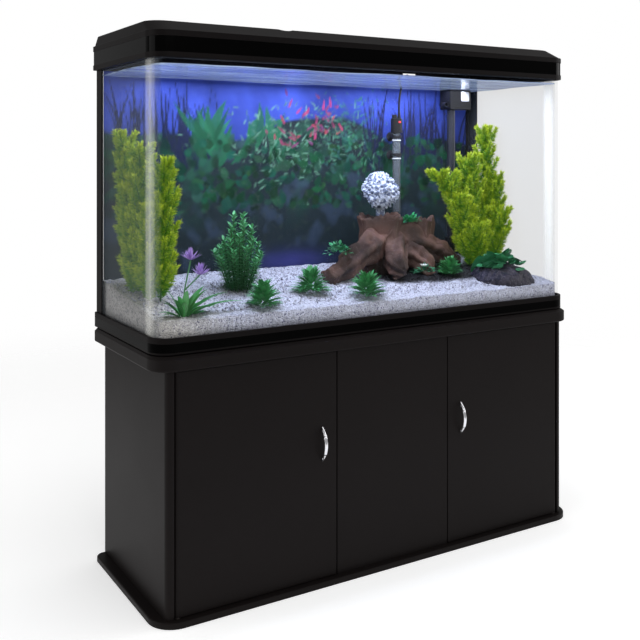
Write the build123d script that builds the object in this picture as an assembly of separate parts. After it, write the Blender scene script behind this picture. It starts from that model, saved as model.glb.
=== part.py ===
from build123d import *
import os
from math import pi, tan, radians

# Aquarium on a cabinet stand: a bent-glass tank with hood, heater and pump, on a two-door
# cabinet. Millimetres. X runs along the front, Y from front to back and Z up. The front
# faces -Y, the floor is Z = 0, and the origin is the middle of the footprint.

# ---- overall sizes ----
TANK_W = 1205.0             # gloss band of the tank's base frame, side to side
TANK_D = 412.0              # the same band, front to back
CABINET_H = 570.0           # floor to the top of the cabinet
GLASS_H = 635.0             # height of the tank's panes
DOOR_PROUD = 1.5            # door faces stand this far in front of the base frame
HANDLE_REACH = 23.5         # handle, door face to its front

TOTAL_D = TANK_D + DOOR_PROUD + HANDLE_REACH
BACK_Y = TOTAL_D / 2
TANK_FRONT_Y = BACK_Y - TANK_D
DOOR_FRONT_Y = TANK_FRONT_Y - DOOR_PROUD

# ---- fits ----
PRESS = 0.02                # radial gap of a part pressed or glued in its hole
RUN = 0.05                  # radial gap of a part that turns in its hole
SKIN_GAP = 0.1              # between a trim strip and the rebate it sits in
THROUGH = 5.0               # how far a cutting body overshoots the material
OVERSHOOT = 0.01            # the least overshoot, and the height of a selecting slice

# ---- cabinet ----
BOARD_T = 15.0
SIDE_T = 17.0
SIDE_OVERHANG = 29.5        # cabinet top past the carcass, each side
TOP_SIDE_LEDGE = 4.5        # cabinet top past the tank's band, each side
TOP_FRONT_LEDGE = 12.0
TOP_T = 32.0
TOP_BEVEL_H = 6.0
TOP_CORNER_R = 50.0
TOP_BACK_R = 22.0
TOP_EDGE_R = 4.0
BASE_T = 13.0
BASE_LEDGE = 17.0           # base board in front of the doors
BASE_SIDE_LEDGE = 25.5      # base board past the carcass sides
BASE_CORNER_R = 60.0
BASE_BACK_R = 20.0
BASE_EDGE_R = 3.0
CARCASS_BACK_INSET = 8.0
SIDE_FRONT_R = 14.0
BACK_PANEL_T = 4.0
CABLE_HOLE_R = 30.0
CABLE_HOLE_Z = 430.0
CABLE_HOLE_INSET = 90.0     # outer holes to the cabinet's sides
LEFT_BAY_W = 408.0
CENTRE_W = 328.0
DOOR_T = 16.0
DOOR_GAP = 2.5
DOOR_EDGE_R = 1.0

TOP_W = TANK_W + 2 * TOP_SIDE_LEDGE
CARCASS_W = TOP_W - 2 * SIDE_OVERHANG
OPENING_W = CARCASS_W - 2 * SIDE_T
CARCASS_BACK_Y = BACK_Y - CARCASS_BACK_INSET
TOP_FRONT_Y = TANK_FRONT_Y - TOP_FRONT_LEDGE
BASE_FRONT_Y = DOOR_FRONT_Y - BASE_LEDGE
BASE_W = CARCASS_W + 2 * BASE_SIDE_LEDGE
TOP_Z = CABINET_H - TOP_T               # underside of the cabinet top
DOOR_Z0 = BASE_T + DOOR_GAP
DOOR_Z1 = TOP_Z - DOOR_GAP
DOOR_MID_Y = DOOR_FRONT_Y + DOOR_T / 2
OPENING_X = OPENING_W / 2
LEFT_BAY_X = -OPENING_X + LEFT_BAY_W    # right end of the left door's bay
RIGHT_BAY_X = LEFT_BAY_X + CENTRE_W     # left end of the right door's bay
HINGE_X = OPENING_X - DOOR_GAP - DOOR_T / 2

# ---- door fittings ----
PIN_R = 3.0
PIN_IN_DOOR = 25.0
BUSH_R = 5.0
BUSH_DEPTH = 8.0
BUSH_FLANGE_R = 7.0
BUSH_FLANGE_T = 2.0
PIN_IN_BUSH = BUSH_DEPTH - 1.0
HANDLE_INSET = 40.0         # handle to the door's free edge
HANDLE_Z = 326.0
HANDLE_HALF = 39.0
HANDLE_GRIP_R = 4.6
HANDLE_GRIP_HALF = 19.0
HANDLE_TIP_R = 1.8
HANDLE_COLLAR_R = 5.0
HANDLE_COLLAR_T = 2.4
HANDLE_COLLAR_TAPER = 0.8
HANDLE_ARM_SWELL = 0.6      # arm's radius at the collar over its middle's
HANDLE_TIP_GAP = 2.0
FOOT_R = 3.6
FOOT_HALF_SPACING = 32.0
SCREW_R = 2.0
SCREW_HEAD_R = 4.0
SCREW_HEAD_T = 2.2
SCREW_IN_FOOT = 3.0
CATCH_W = 14.0
CATCH_D = 36.0
CATCH_H = 46.0
CATCH_TOP_GAP = 30.0
STRIKE_T = 1.5
STRIKE_GAP = 0.3
CATCH_EDGE_R = 1.5
BASE_SCREW_R = 2.5
BASE_SCREW_L = 48.0
BASE_SCREW_HEAD_R = 5.0
BASE_SCREW_HEAD_H = 4.0
BASE_SCREW_Y = (-150.0, 150.0)

# ---- tank ----
MAT_T = 3.0
MAT_INSET = 12.0
FRAME_H = 35.0
FRAME_LEDGE_T = 4.0
FRAME_LEDGE_W = 26.0        # how far the frame reaches under the bottom pane
BAND_H = 19.0
BAND_T = 1.6
BAND_CORNER_R = 45.0
BACK_CORNER_R = 6.0
LIP_R = 1.5
GLASS_INSET = 7.0           # band face to glass face
GLASS_T = 8.0
BOTTOM_T = 10.0
SEAM_T = 2.0                # silicone between panes
GLASS_FIT = 0.3
POST_T = 2.0
POST_SIDE_W = 36.0
POST_BACK_W = 14.0
FILM_T = 0.8
FILM_GAP = 0.2
TOP_FRAME_H = 12.0
TOP_FRAME_GRIP = 9.0        # how far the top frame comes down over the glass
TOP_FRAME_FLANGE = 14.0
RIB_T = 3.0
RIB_H = 6.0

MAT_Z = CABINET_H
TANK_Z = CABINET_H + MAT_T
GLASS_Z = TANK_Z + FRAME_LEDGE_T
FLOOR_Z = GLASS_Z + BOTTOM_T            # upper face of the bottom pane
GLASS_TOP_Z = GLASS_Z + GLASS_H
GLASS_W = TANK_W - 2 * GLASS_INSET
GLASS_FRONT_Y = TANK_FRONT_Y + GLASS_INSET
GLASS_BACK_Y = BACK_Y - GLASS_INSET
GLASS_R = BAND_CORNER_R - GLASS_INSET
INNER_X = GLASS_W / 2 - GLASS_T         # inner faces of the side, front and back panes
INNER_FRONT_Y = GLASS_FRONT_Y + GLASS_T
INNER_BACK_Y = GLASS_BACK_Y - GLASS_T
TOP_FRAME_Z = GLASS_TOP_Z - TOP_FRAME_GRIP
HOOD_Z = TOP_FRAME_Z + TOP_FRAME_H

# ---- hood ----
HOOD_W = 1211.0
HOOD_SETBACK = 3.0
HOOD_BACK_INSET = 1.5
HOOD_BAND_H = 33.6
HOOD_BEAD_H = 13.4
HOOD_BEAD_PROUD = 1.5
HOOD_WALL = 6.0
HOOD_RIB_GAP = 0.8
LID_H = 25.0
LID_INSET = 2.0
LID_FRONT_RUN = 47.0        # depth of the lid's sloping front
LID_SIDE_RUN = 6.0
LID_BACK_RUN = 5.0
LID_BACK_R = 8.0
LID_WALL = 4.0
LID_PLATE_T = 5.0
LID_EDGE_R = 4.0
FLAP_FROM_SIDE = 103.5
FLAP_W = 480.0
FLAP_D = 190.0
FLAP_RIM = 13.0             # lid in front of the flap
FLAP_GAP = 1.0
FLAP_LEDGE_W = 8.0
FLAP_LEDGE_T = 3.0
FLAP_LEDGE_GAP = 0.2
FLAP_PIN_R = 1.6
FLAP_PIN_L = 6.0
SCOOP_R = 60.0
SCOOP_DEPTH = 3.2
SCOOP_LENGTH = 30.0
NOTCH_FROM_HEATER = 77.0
NOTCH_W = 52.0
NOTCH_H = 24.0
LAMP_W = 900.0
LAMP_D = 84.0
LAMP_H = 20.0
LAMP_FROM_BACK = 126.5
LAMP_WALL = 2.0
LAMP_DROP = 18.0            # gap between the lid and the lamp
LAMP_POST_INSET = 70.0
LAMP_POST_W = 20.0
DIFFUSER_T = 3.0

LID_Z = HOOD_Z + HOOD_BAND_H + HOOD_BEAD_H
LID_TOP_Z = LID_Z + LID_H
HOOD_FRONT_Y = TANK_FRONT_Y + HOOD_SETBACK
HOOD_BACK_Y = BACK_Y - HOOD_BACK_INSET
LID_TOP_FRONT_Y = HOOD_FRONT_Y + LID_INSET + LID_FRONT_RUN
FLAP_X = FLAP_FROM_SIDE + FLAP_W / 2 - HOOD_W / 2
FLAP_FRONT_Y = LID_TOP_FRONT_Y + FLAP_RIM
FLAP_AXIS_Y = FLAP_FRONT_Y + FLAP_D - LID_PLATE_T / 2
FLAP_AXIS_Z = LID_TOP_Z - LID_PLATE_T / 2

# ---- heater ----
HEATER_FROM_SIDE = 302.5    # heater's axis to the right pane
HEATER_FROM_BACK = 31.5     # heater's axis to the back pane
HEATER_R = 12.0
HEATER_WALL = 1.2
HEATER_CAP_TOP = 111.0      # below the glass's top edge
HEATER_CAP_R = 17.0
HEATER_CAP_H = 42.0
HEATER_TUBE_L = 239.0
HEATER_PLUG_L = 14.0
KNOB_R = 7.5
KNOB_H = 10.0
KNOB_X = -7.0
KNOB_STEM_R = 3.0
KNOB_STEM_L = 8.0
KNOB_LIFT = 0.4
KNOB_STEM_GAP = 1.0         # below the stem's end
POINTER_W = 2.0
POINTER_H = 1.2
GLAND_X = 9.5
GLAND_R = 5.0
GLAND_TIP_R = 3.6
GLAND_H = 20.0
CLIP_T = 2.4
CLIP_H = 8.0
CLIP_BELOW_CAP = (11.0, 64.0)
CUP_R = 14.0
CUP_NECK_R = 5.0
CUP_D = 7.0
CUP_GAP = 0.2

HEATER_X = INNER_X - HEATER_FROM_SIDE
HEATER_Y = INNER_BACK_Y - HEATER_FROM_BACK
NOTCH_X = HEATER_X + NOTCH_FROM_HEATER
LAMP_Y = BACK_Y - LAMP_FROM_BACK
LAMP_POST_X = LAMP_W / 2 - LAMP_POST_INSET
CAP_TOP_Z = GLASS_TOP_Z - HEATER_CAP_TOP
CAP_Z = CAP_TOP_Z - HEATER_CAP_H

# ---- pump ----
PUMP_FROM_SIDE = 37.5       # pump to the right pane
PUMP_W = 80.0
PUMP_D = 50.0
PUMP_H = 66.0
PUMP_FROM_BACK = 3.5        # pump's back to the back pane
PUMP_BELOW_TOP = 14.0       # pump's top below the glass's top edge
PUMP_EDGE_R = 5.0
COVER_T = 4.0
CHAMBER_X = -17.0
CHAMBER_Y = 1.0
CHAMBER_R = 18.0
CHAMBER_H = 20.0
CHAMBER_FLOOR = 4.0
IMPELLER_R = 15.0
IMPELLER_H = 12.0
IMPELLER_HUB_R = 5.0
IMPELLER_VANES = 5
VANE_T = 2.0
VANE_INSET = 1.0            # vane's tip inside the wheel's rim
SHAFT_R = 1.5
SHAFT_LIFT = 1.0            # shaft's foot above the chamber's floor
PIPE_R = 12.0
PIPE_BORE_R = 9.0
PIPE_L = 388.0
STRAINER_R = 17.0
STRAINER_H = 46.0
STRAINER_SLOTS = 10
STRAINER_SLOT_W = 2.5
STRAINER_SLOT_END = 8.0     # solid above and below a slot
STRAINER_CORE_R = 3.0
NOZZLE_R = 7.0
NOZZLE_BORE_R = 5.0
NOZZLE_L = 16.0
NOZZLE_IN = 6.0
SPOUT_L = 18.0
PUMP_CLIP_W = 44.0
PUMP_CLIP_T = 3.0
PUMP_CLIP_GAP = 0.2
PUMP_CLIP_X = 7.0           # clip's middle to the chamber's
PUMP_CLIP_CLEAR = 2.0       # clip's upright to the top frame's flange

PUMP_X = INNER_X - PUMP_FROM_SIDE - PUMP_W / 2
PUMP_BACK_Y = INNER_BACK_Y - PUMP_FROM_BACK
PUMP_FRONT_Y = PUMP_BACK_Y - PUMP_D
PUMP_TOP_Z = GLASS_TOP_Z - PUMP_BELOW_TOP
PUMP_Z = PUMP_TOP_Z - PUMP_H
CHAMBER_MID_X = PUMP_X + CHAMBER_X
CHAMBER_MID_Y = PUMP_BACK_Y - PUMP_D / 2 + CHAMBER_Y
CHAMBER_Z = PUMP_Z + CHAMBER_FLOOR

# ---- dressing ----
GRAVEL_FRONT_H = 52.0
GRAVEL_BACK_H = 102.0
GRAVEL_GAP = 0.5
BURIED = 18.0               # how deep dressing stands in the gravel
ROOT_CLEAR = 1.5
DRESS_MARGIN = 80.0         # from a side pane to the middle of the outermost pieces
# place as shares of the half width inside the margins and of the half depth, and root radius
STUMP = (0.351, 0.469, 60.0)
MOUND = (0.897, -0.526, 84.0)
FERN_LEFT = (-1.0, 0.144, 20.0)
FERN_RIGHT = (1.0, 0.364, 18.0)
FLOWER = (-1.025, -0.84, 12.0)
BUSH = (-0.591, 0.045, 14.0)
# place as shares again, and spread
CLUMPS = (
    (-0.623, -0.767, 42.0),
    (-0.278, -0.353, 40.0),
    (-0.053, -0.756, 44.0),
    (0.65, -0.17, 34.0),
)
CLUMP_ROOT_R = 8.0
CLUMP_H = 46.0
CLUMP_TIP = 0.5             # tip's radius as a share of the spread
# crowns: radius and height above the bottom pane, from the root up
STUMP_CROWN = ((58, 173), (64, 243))
MOUND_CROWN = ((78, 89), (52, 105), (18, 115))
FERN_LEFT_CROWN = ((66, 143), (74, 313), (36, 473))
FERN_RIGHT_CROWN = ((60, 173), (66, 313), (28, 499))
FLOWER_CROWN = ((27, 113), (26, 165), (10, 185))
BUSH_CROWN = ((60, 153), (64, 233), (24, 285))
# limbs: start, its radius, end and its radius, from the piece's middle and the bottom pane
STUMP_LIMBS = (
    ((-28, -24, 135), 40, (-232, -96, 109), 22),
    ((6, -30, 135), 40, (-30, -132, 105), 24),
    ((40, -8, 155), 44, (196, -14, 125), 26),
    ((128, -8, 130), 34, (138, -6, 196), 27),
)
FERN_LEFT_LIMB = ((-4, 20, 170), 40, (-34, 100, 415), 36)
FERN_RIGHT_LIMB = ((-26, 0, 213), 46, (-150, -4, 363), 28)
FLOWER_LEAF = ((0, 0, 93), 12, (110, -4, 89), 10)
STUMP_HOLLOW_R = 44.0
STUMP_HOLLOW_H = 183.0      # floor of the hollow above the bottom pane
CORAL_R = 54.0
CORAL_H = 307.0
CORAL_STEM_R = 14.0

# ---- heater cord, from the cap's gland to the coil on the floor ----
CORD_D = 6.0
BEND_SHARE = 0.45           # of the shorter run that a bend may use up
COIL_R = 33.0               # middle of its turns
COIL_X = 318.0
COIL_Y = 322.0
COIL_HALF_W = 7.0
COIL_H = 13.0
CORD_ROUTE = [
    (294.5, 172, 1121),
    (294.5, 172, 1146),
    (299, 174, 1173),
    (308, 178, 1199),
    (324, 185, 1221),
    (342, 196, 1232),
    (357, 213, 1233),
    (366, 231, 1223),
    (371, 244, 1202),
    (372, 249, 1172),
    (369, 246, 1130),
    (366, 241, 1060),
    (370, 238, 975),
    (375, 240, 888),
    (372, 244, 802),
    (367, 242, 716),
    (369, 238, 630),
    (375, 239, 544),
    (376, 243, 458),
    (371, 245, 372),
    (368, 241, 286),
    (371, 239, 205),
    (376, 243, 132),
    (379, 250, 78),
    (379, 262, 41),
    (376, 279, 16),
    (371, 299, 5),
    (363, 321, 3.4),
]

# ---- plug ----
PLUG_L = 36.0
PLUG_W = 18.0
PLUG_H = 14.0
PLUG_TAIL = 20.0
PLUG_PIN_R = 2.0
PLUG_PIN_L = 19.0
PLUG_PIN_SPACING = 19.0
PLUG_FACE_W = 28.0
PLUG_FACE_L = 9.0
PLUG_EDGE_R = 3.0
PLUG_TAIL_WALL = 0.8        # tail past the cord's radius at its thin end
PLUG_TAIL_STEP = 1.0        # tail inside the body's height at its thick end
PLUG_PIN_IN = 1.0


def plan(width, front_y, back_y, front_r, back_r=0.0):
    """A rectangle seen from above, with its own radius at the front and the back corners."""
    outline = Pos(0, (front_y + back_y) / 2) * Rectangle(width, back_y - front_y)
    if front_r > 0:
        outline = fillet(outline.vertices().sort_by(Axis.Y)[:2], front_r)
    if back_r > 0:
        outline = fillet(outline.vertices().sort_by(Axis.Y)[-2:], back_r)
    return outline


def slab(outline, z0, z1):
    return Pos(0, 0, z0) * extrude(outline, amount=z1 - z0)


def block(x0, x1, y0, y1, z0, z1):
    centre = Pos((x0 + x1) / 2, (y0 + y1) / 2, (z0 + z1) / 2)
    return centre * Box(x1 - x0, y1 - y0, z1 - z0)


def upright(x, y, z0, z1, radius):
    return Pos(x, y, (z0 + z1) / 2) * Cylinder(radius, z1 - z0)


def along_y(x, z, y0, y1, radius):
    return Pos(x, (y0 + y1) / 2, z) * Rot(90, 0, 0) * Cylinder(radius, y1 - y0)


def along_x(y, z, x0, x1, radius):
    return Pos((x0 + x1) / 2, y, z) * Rot(0, 90, 0) * Cylinder(radius, x1 - x0)


def ease_at(solid, z, radius):
    """Round every edge that lies in the level plane at height z."""
    return fillet(solid.edges().filter_by_position(Axis.Z, z - OVERSHOOT, z + OVERSHOOT), radius)


def turned(x, y, profile):
    """A solid turned about an upright axis from (radius, height) points, closed on the axis."""
    points = [(0, profile[0][1])] + list(profile) + [(0, profile[-1][1])]
    face = make_face(Polyline([(r, 0, z) for r, z in points], close=True))
    return Pos(x, y, 0) * revolve(face, Axis.Z)


def limb(start, start_r, end, end_r):
    """A tapered round limb between two points, with a ball at its far end."""
    axis = Vector(*end) - Vector(*start)
    cone = Plane(origin=start, z_dir=axis) * Pos(0, 0, axis.length / 2) * Cone(
        start_r, end_r, axis.length)
    return cone + Pos(*end) * Sphere(end_r)


# ---------------------------------------------------------------- cabinet

def base_screw_places():
    """Middle of each upright board that a base screw goes up into."""
    side_x = (CARCASS_W - SIDE_T) / 2
    boards = (-side_x, LEFT_BAY_X + BOARD_T / 2, RIGHT_BAY_X - BOARD_T / 2, side_x)
    return [(x, y) for x in boards for y in BASE_SCREW_Y]


def base_screw(x, y, gap=0.0):
    shank = upright(x, y, 0, BASE_SCREW_L, BASE_SCREW_R + gap)
    head = Pos(x, y, BASE_SCREW_HEAD_H / 2) * Cone(
        BASE_SCREW_HEAD_R + gap, BASE_SCREW_R + gap, BASE_SCREW_HEAD_H)
    return shank + head


def without_base_screws(board):
    for x, y in base_screw_places():
        board -= base_screw(x, y, PRESS)
    return board


def base_screws():
    return Compound([base_screw(x, y).solids()[0] for x, y in base_screw_places()])


def pivot_hole(x, z0, z1):
    return upright(x, DOOR_MID_Y, z0, z1, BUSH_R + PRESS)


def base_board():
    board = slab(plan(BASE_W, BASE_FRONT_Y, CARCASS_BACK_Y, BASE_CORNER_R, BASE_BACK_R),
                 0, BASE_T)
    board = ease_at(board, BASE_T, BASE_EDGE_R)
    for x in (-HINGE_X, HINGE_X):
        board -= pivot_hole(x, BASE_T - BUSH_DEPTH, BASE_T + THROUGH)
    return without_base_screws(board)


def cabinet_side(side):
    outer = side * CARCASS_W / 2
    inner = side * OPENING_X
    board = block(min(outer, inner), max(outer, inner), DOOR_FRONT_Y, CARCASS_BACK_Y,
                  BASE_T, TOP_Z)
    uprights = board.edges().filter_by(Axis.Z).sort_by(Axis.Y)[:2]
    front_outer = uprights.sort_by(Axis.X)[0 if side < 0 else -1]
    return without_base_screws(fillet(front_outer, SIDE_FRONT_R))


def partition(x0, x1):
    board = block(x0, x1, DOOR_FRONT_Y + DOOR_T, CARCASS_BACK_Y - BACK_PANEL_T, BASE_T, TOP_Z)
    return without_base_screws(board)


def centre_panel():
    panel = block(LEFT_BAY_X, RIGHT_BAY_X, DOOR_FRONT_Y, DOOR_FRONT_Y + DOOR_T, BASE_T, TOP_Z)
    front_uprights = panel.edges().filter_by(Axis.Z).sort_by(Axis.Y)[:2]
    return fillet(front_uprights, DOOR_EDGE_R)


def cable_hole_places():
    """One hole at the back of each bay, the outer two near the sides."""
    return (CABLE_HOLE_INSET - OPENING_X, (LEFT_BAY_X + RIGHT_BAY_X) / 2,
            OPENING_X - CABLE_HOLE_INSET)


def cabinet_back():
    panel = block(-OPENING_X, OPENING_X, CARCASS_BACK_Y - BACK_PANEL_T, CARCASS_BACK_Y,
                  BASE_T, TOP_Z)
    for x in cable_hole_places():
        panel -= along_y(x, CABLE_HOLE_Z, CARCASS_BACK_Y - BACK_PANEL_T - THROUGH,
                         CARCASS_BACK_Y + THROUGH, CABLE_HOLE_R)
    return panel


def cabinet_top():
    """A moulded board: an upright rounded edge with a shallow bevel up to the tank."""
    bevel_z = CABINET_H - TOP_BEVEL_H
    edge = plan(TOP_W, TOP_FRONT_Y, BACK_Y, TOP_CORNER_R, TOP_BACK_R)
    crown = plan(TANK_W, TANK_FRONT_Y, BACK_Y - TOP_SIDE_LEDGE, BAND_CORNER_R, TOP_BACK_R)
    board = ease_at(slab(edge, TOP_Z, bevel_z), TOP_Z, TOP_EDGE_R)
    board += loft([Pos(0, 0, bevel_z) * edge, Pos(0, 0, CABINET_H) * crown])
    for x in (-HINGE_X, HINGE_X):
        board -= pivot_hole(x, TOP_Z - THROUGH, TOP_Z + BUSH_DEPTH)
    return board


# ---------------------------------------------------------------- doors

def door_free_x(side):
    return LEFT_BAY_X - DOOR_GAP if side < 0 else RIGHT_BAY_X + DOOR_GAP


def handle_x(side):
    return door_free_x(side) + side * HANDLE_INSET


def foot_heights():
    return (HANDLE_Z - FOOT_HALF_SPACING, HANDLE_Z + FOOT_HALF_SPACING)


def door(side):
    """A flat door whose hinge edge is a half round about the pivot, so it turns in its gap."""
    hinge_x = side * HINGE_X
    free_x = door_free_x(side)
    leaf = block(min(hinge_x, free_x), max(hinge_x, free_x), DOOR_FRONT_Y,
                 DOOR_FRONT_Y + DOOR_T, DOOR_Z0, DOOR_Z1)
    uprights = leaf.edges().filter_by(Axis.Z).sort_by(Axis.Y)[:2]
    free_edge = uprights.sort_by(Axis.X)[-1 if side < 0 else 0]
    leaf = fillet(free_edge, DOOR_EDGE_R)
    leaf += upright(hinge_x, DOOR_MID_Y, DOOR_Z0, DOOR_Z1, DOOR_T / 2)
    for z0, z1 in ((DOOR_Z0 - THROUGH, DOOR_Z0 + PIN_IN_DOOR),
                   (DOOR_Z1 - PIN_IN_DOOR, DOOR_Z1 + THROUGH)):
        leaf -= upright(hinge_x, DOOR_MID_Y, z0, z1, PIN_R + PRESS)
    for z in foot_heights():
        leaf -= along_y(handle_x(side), z, DOOR_FRONT_Y - THROUGH,
                        DOOR_FRONT_Y + DOOR_T + THROUGH, SCREW_R + PRESS)
    return leaf


def door_pins(side):
    x = side * HINGE_X
    low = upright(x, DOOR_MID_Y, BASE_T - PIN_IN_BUSH, DOOR_Z0 + PIN_IN_DOOR, PIN_R)
    high = upright(x, DOOR_MID_Y, DOOR_Z1 - PIN_IN_DOOR, TOP_Z + PIN_IN_BUSH, PIN_R)
    return Compound([low.solids()[0], high.solids()[0]])


def pivot_bush(x, face_z, into):
    """A flanged bush: its sleeve goes into the board, its flange spaces the door off it."""
    sleeve_z = sorted((face_z, face_z + into * BUSH_DEPTH))
    flange_z = sorted((face_z, face_z - into * BUSH_FLANGE_T))
    bush = upright(x, DOOR_MID_Y, *sleeve_z, BUSH_R)
    bush += upright(x, DOOR_MID_Y, *flange_z, BUSH_FLANGE_R)
    return bush - upright(x, DOOR_MID_Y, flange_z[0] - BUSH_DEPTH - THROUGH,
                          flange_z[1] + BUSH_DEPTH + THROUGH, PIN_R + RUN)


def pivot_bushes():
    bushes = []
    for x in (-HINGE_X, HINGE_X):
        bushes += pivot_bush(x, BASE_T, -1).solids()
        bushes += pivot_bush(x, TOP_Z, 1).solids()
    return Compound(bushes)


def handle(side):
    """A bow: round sections along a parabola, a plain grip between two collars, two feet."""
    x = handle_x(side)
    tip_y = DOOR_FRONT_Y - HANDLE_TIP_GAP
    bow = HANDLE_REACH - HANDLE_TIP_GAP - HANDLE_COLLAR_R

    def section(height, radius):
        share = height / HANDLE_HALF
        y = tip_y - bow * (1 - share * share)
        slope = 2 * bow * share / HANDLE_HALF
        return Plane(origin=(x, y, HANDLE_Z + height), z_dir=(0, slope, 1)) * Circle(radius)

    mid_r = (HANDLE_TIP_R + HANDLE_GRIP_R) / 2
    half_arm = (HANDLE_HALF + HANDLE_GRIP_HALF) / 2
    grip = [section(h, HANDLE_GRIP_R) for h in (-HANDLE_GRIP_HALF, 0, HANDLE_GRIP_HALF)]
    bar = loft(grip)
    for end in (-1, 1):
        arm = [section(end * HANDLE_GRIP_HALF, mid_r + HANDLE_ARM_SWELL),
               section(end * half_arm, mid_r),
               section(end * HANDLE_HALF, HANDLE_TIP_R)]
        bar += loft(arm)
        collar_end = HANDLE_GRIP_HALF + HANDLE_COLLAR_T
        bar += loft([section(end * HANDLE_GRIP_HALF, HANDLE_COLLAR_R),
                     section(end * collar_end, HANDLE_COLLAR_R - HANDLE_COLLAR_TAPER)])
        share = FOOT_HALF_SPACING / HANDLE_HALF
        foot_y = tip_y - bow * (1 - share * share)
        foot_z = HANDLE_Z + end * FOOT_HALF_SPACING
        bar += along_y(x, foot_z, foot_y, DOOR_FRONT_Y, FOOT_R)
        bar -= along_y(x, foot_z, DOOR_FRONT_Y - SCREW_IN_FOOT, DOOR_FRONT_Y + THROUGH,
                       SCREW_R + PRESS)
    return bar


def handle_screws(side):
    screws = []
    inner_y = DOOR_FRONT_Y + DOOR_T
    for z in foot_heights():
        screw = along_y(handle_x(side), z, DOOR_FRONT_Y - SCREW_IN_FOOT, inner_y, SCREW_R)
        screw += along_y(handle_x(side), z, inner_y, inner_y + SCREW_HEAD_T, SCREW_HEAD_R)
        screws += screw.solids()
    return Compound(screws)


def catch_top_z():
    return DOOR_Z1 - CATCH_TOP_GAP


def magnet_catch(side):
    wall_x = LEFT_BAY_X if side < 0 else RIGHT_BAY_X
    far_x = wall_x + side * CATCH_W
    front_y = DOOR_FRONT_Y + DOOR_T + STRIKE_T + STRIKE_GAP
    body = block(min(wall_x, far_x), max(wall_x, far_x), front_y, front_y + CATCH_D,
                 catch_top_z() - CATCH_H, catch_top_z())
    return fillet(body.edges().filter_by(Axis.Y), CATCH_EDGE_R)


def magnet_catches():
    return Compound(magnet_catch(-1).solids() + magnet_catch(1).solids())


def strike(side):
    edge_x = door_free_x(side) + side * DOOR_EDGE_R
    far_x = edge_x + side * CATCH_W
    inner_y = DOOR_FRONT_Y + DOOR_T
    return block(min(edge_x, far_x), max(edge_x, far_x), inner_y, inner_y + STRIKE_T,
                 catch_top_z() - CATCH_H, catch_top_z())


# ---------------------------------------------------------------- tank

def band_plan(inset):
    """The tank's outline from above, moved in from the gloss band's face."""
    return plan(TANK_W - 2 * inset, TANK_FRONT_Y + inset, BACK_Y - inset,
                BAND_CORNER_R - inset, max(BACK_CORNER_R - inset, 0))


def glass_plan(inset, back_inset=None):
    """The glass box's outline from above, moved in from its outer face."""
    back = GLASS_BACK_Y - (inset if back_inset is None else back_inset)
    return plan(GLASS_W - 2 * inset, GLASS_FRONT_Y + inset, back, GLASS_R - inset)


def foam_mat():
    return slab(band_plan(MAT_INSET), MAT_Z, TANK_Z)


def tank_base_frame():
    """Matt trim with a rebate for the gloss band and a ledge under the bottom pane."""
    band_top = GLASS_Z + BAND_H
    frame = slab(band_plan(0), TANK_Z, GLASS_Z)
    frame += slab(band_plan(BAND_T + SKIN_GAP), GLASS_Z, band_top)
    lip = slab(band_plan(0), band_top, TANK_Z + FRAME_H)
    frame += ease_at(lip, TANK_Z + FRAME_H, LIP_R)
    frame -= slab(glass_plan(-GLASS_FIT), GLASS_Z, TANK_Z + FRAME_H + THROUGH)
    return frame - slab(glass_plan(FRAME_LEDGE_W), TANK_Z - THROUGH, GLASS_Z + THROUGH)


def tank_base_band():
    return slab(band_plan(0) - band_plan(BAND_T), GLASS_Z, GLASS_Z + BAND_H)


def glass_bottom():
    return slab(glass_plan(GLASS_T + SEAM_T), GLASS_Z, FLOOR_Z)


def glass_front():
    """One pane bent round both front corners, open at the back."""
    return slab(glass_plan(0) - glass_plan(GLASS_T, -THROUGH), GLASS_Z, GLASS_TOP_Z)


def glass_back():
    half = GLASS_W / 2 - GLASS_T - SEAM_T
    return block(-half, half, INNER_BACK_Y, GLASS_BACK_Y, GLASS_Z, GLASS_TOP_Z)


def silicone_seams():
    """The bead round the bottom pane and the two upright beads at the back corners."""
    seams = slab(glass_plan(GLASS_T) - glass_plan(GLASS_T + SEAM_T), GLASS_Z, FLOOR_Z)
    outer = GLASS_W / 2 - GLASS_T
    for side in (-1, 1):
        x0, x1 = sorted((side * outer, side * (outer - SEAM_T)))
        seams += block(x0, x1, INNER_BACK_Y, GLASS_BACK_Y, GLASS_Z, GLASS_TOP_Z)
    return seams


def corner_posts():
    posts = []
    z0, z1 = TANK_Z + FRAME_H, TOP_FRAME_Z
    glass_x = GLASS_W / 2 + FILM_GAP
    back_y = GLASS_BACK_Y + FILM_GAP
    for side in (-1, 1):
        x_out, x_in = side * (glass_x + POST_T), side * glass_x
        wing = block(min(x_out, x_in), max(x_out, x_in), back_y - POST_SIDE_W, back_y + POST_T,
                     z0, z1)
        x_leg = side * (glass_x - POST_BACK_W)
        wing += block(min(x_leg, x_out), max(x_leg, x_out), back_y, back_y + POST_T, z0, z1)
        posts += wing.solids()
    return Compound(posts)


def background_film():
    half = GLASS_W / 2 - POST_BACK_W - FILM_T
    y0 = GLASS_BACK_Y + FILM_GAP
    return block(-half, half, y0, y0 + FILM_T, TANK_Z + FRAME_H, TOP_FRAME_Z)


def hood_plan(inset):
    """The hood's outline from above, moved in from its gloss band's face."""
    return plan(HOOD_W - 2 * inset, HOOD_FRONT_Y + inset, HOOD_BACK_Y - inset,
                BAND_CORNER_R - inset, max(BACK_CORNER_R - inset, 0))


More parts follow.
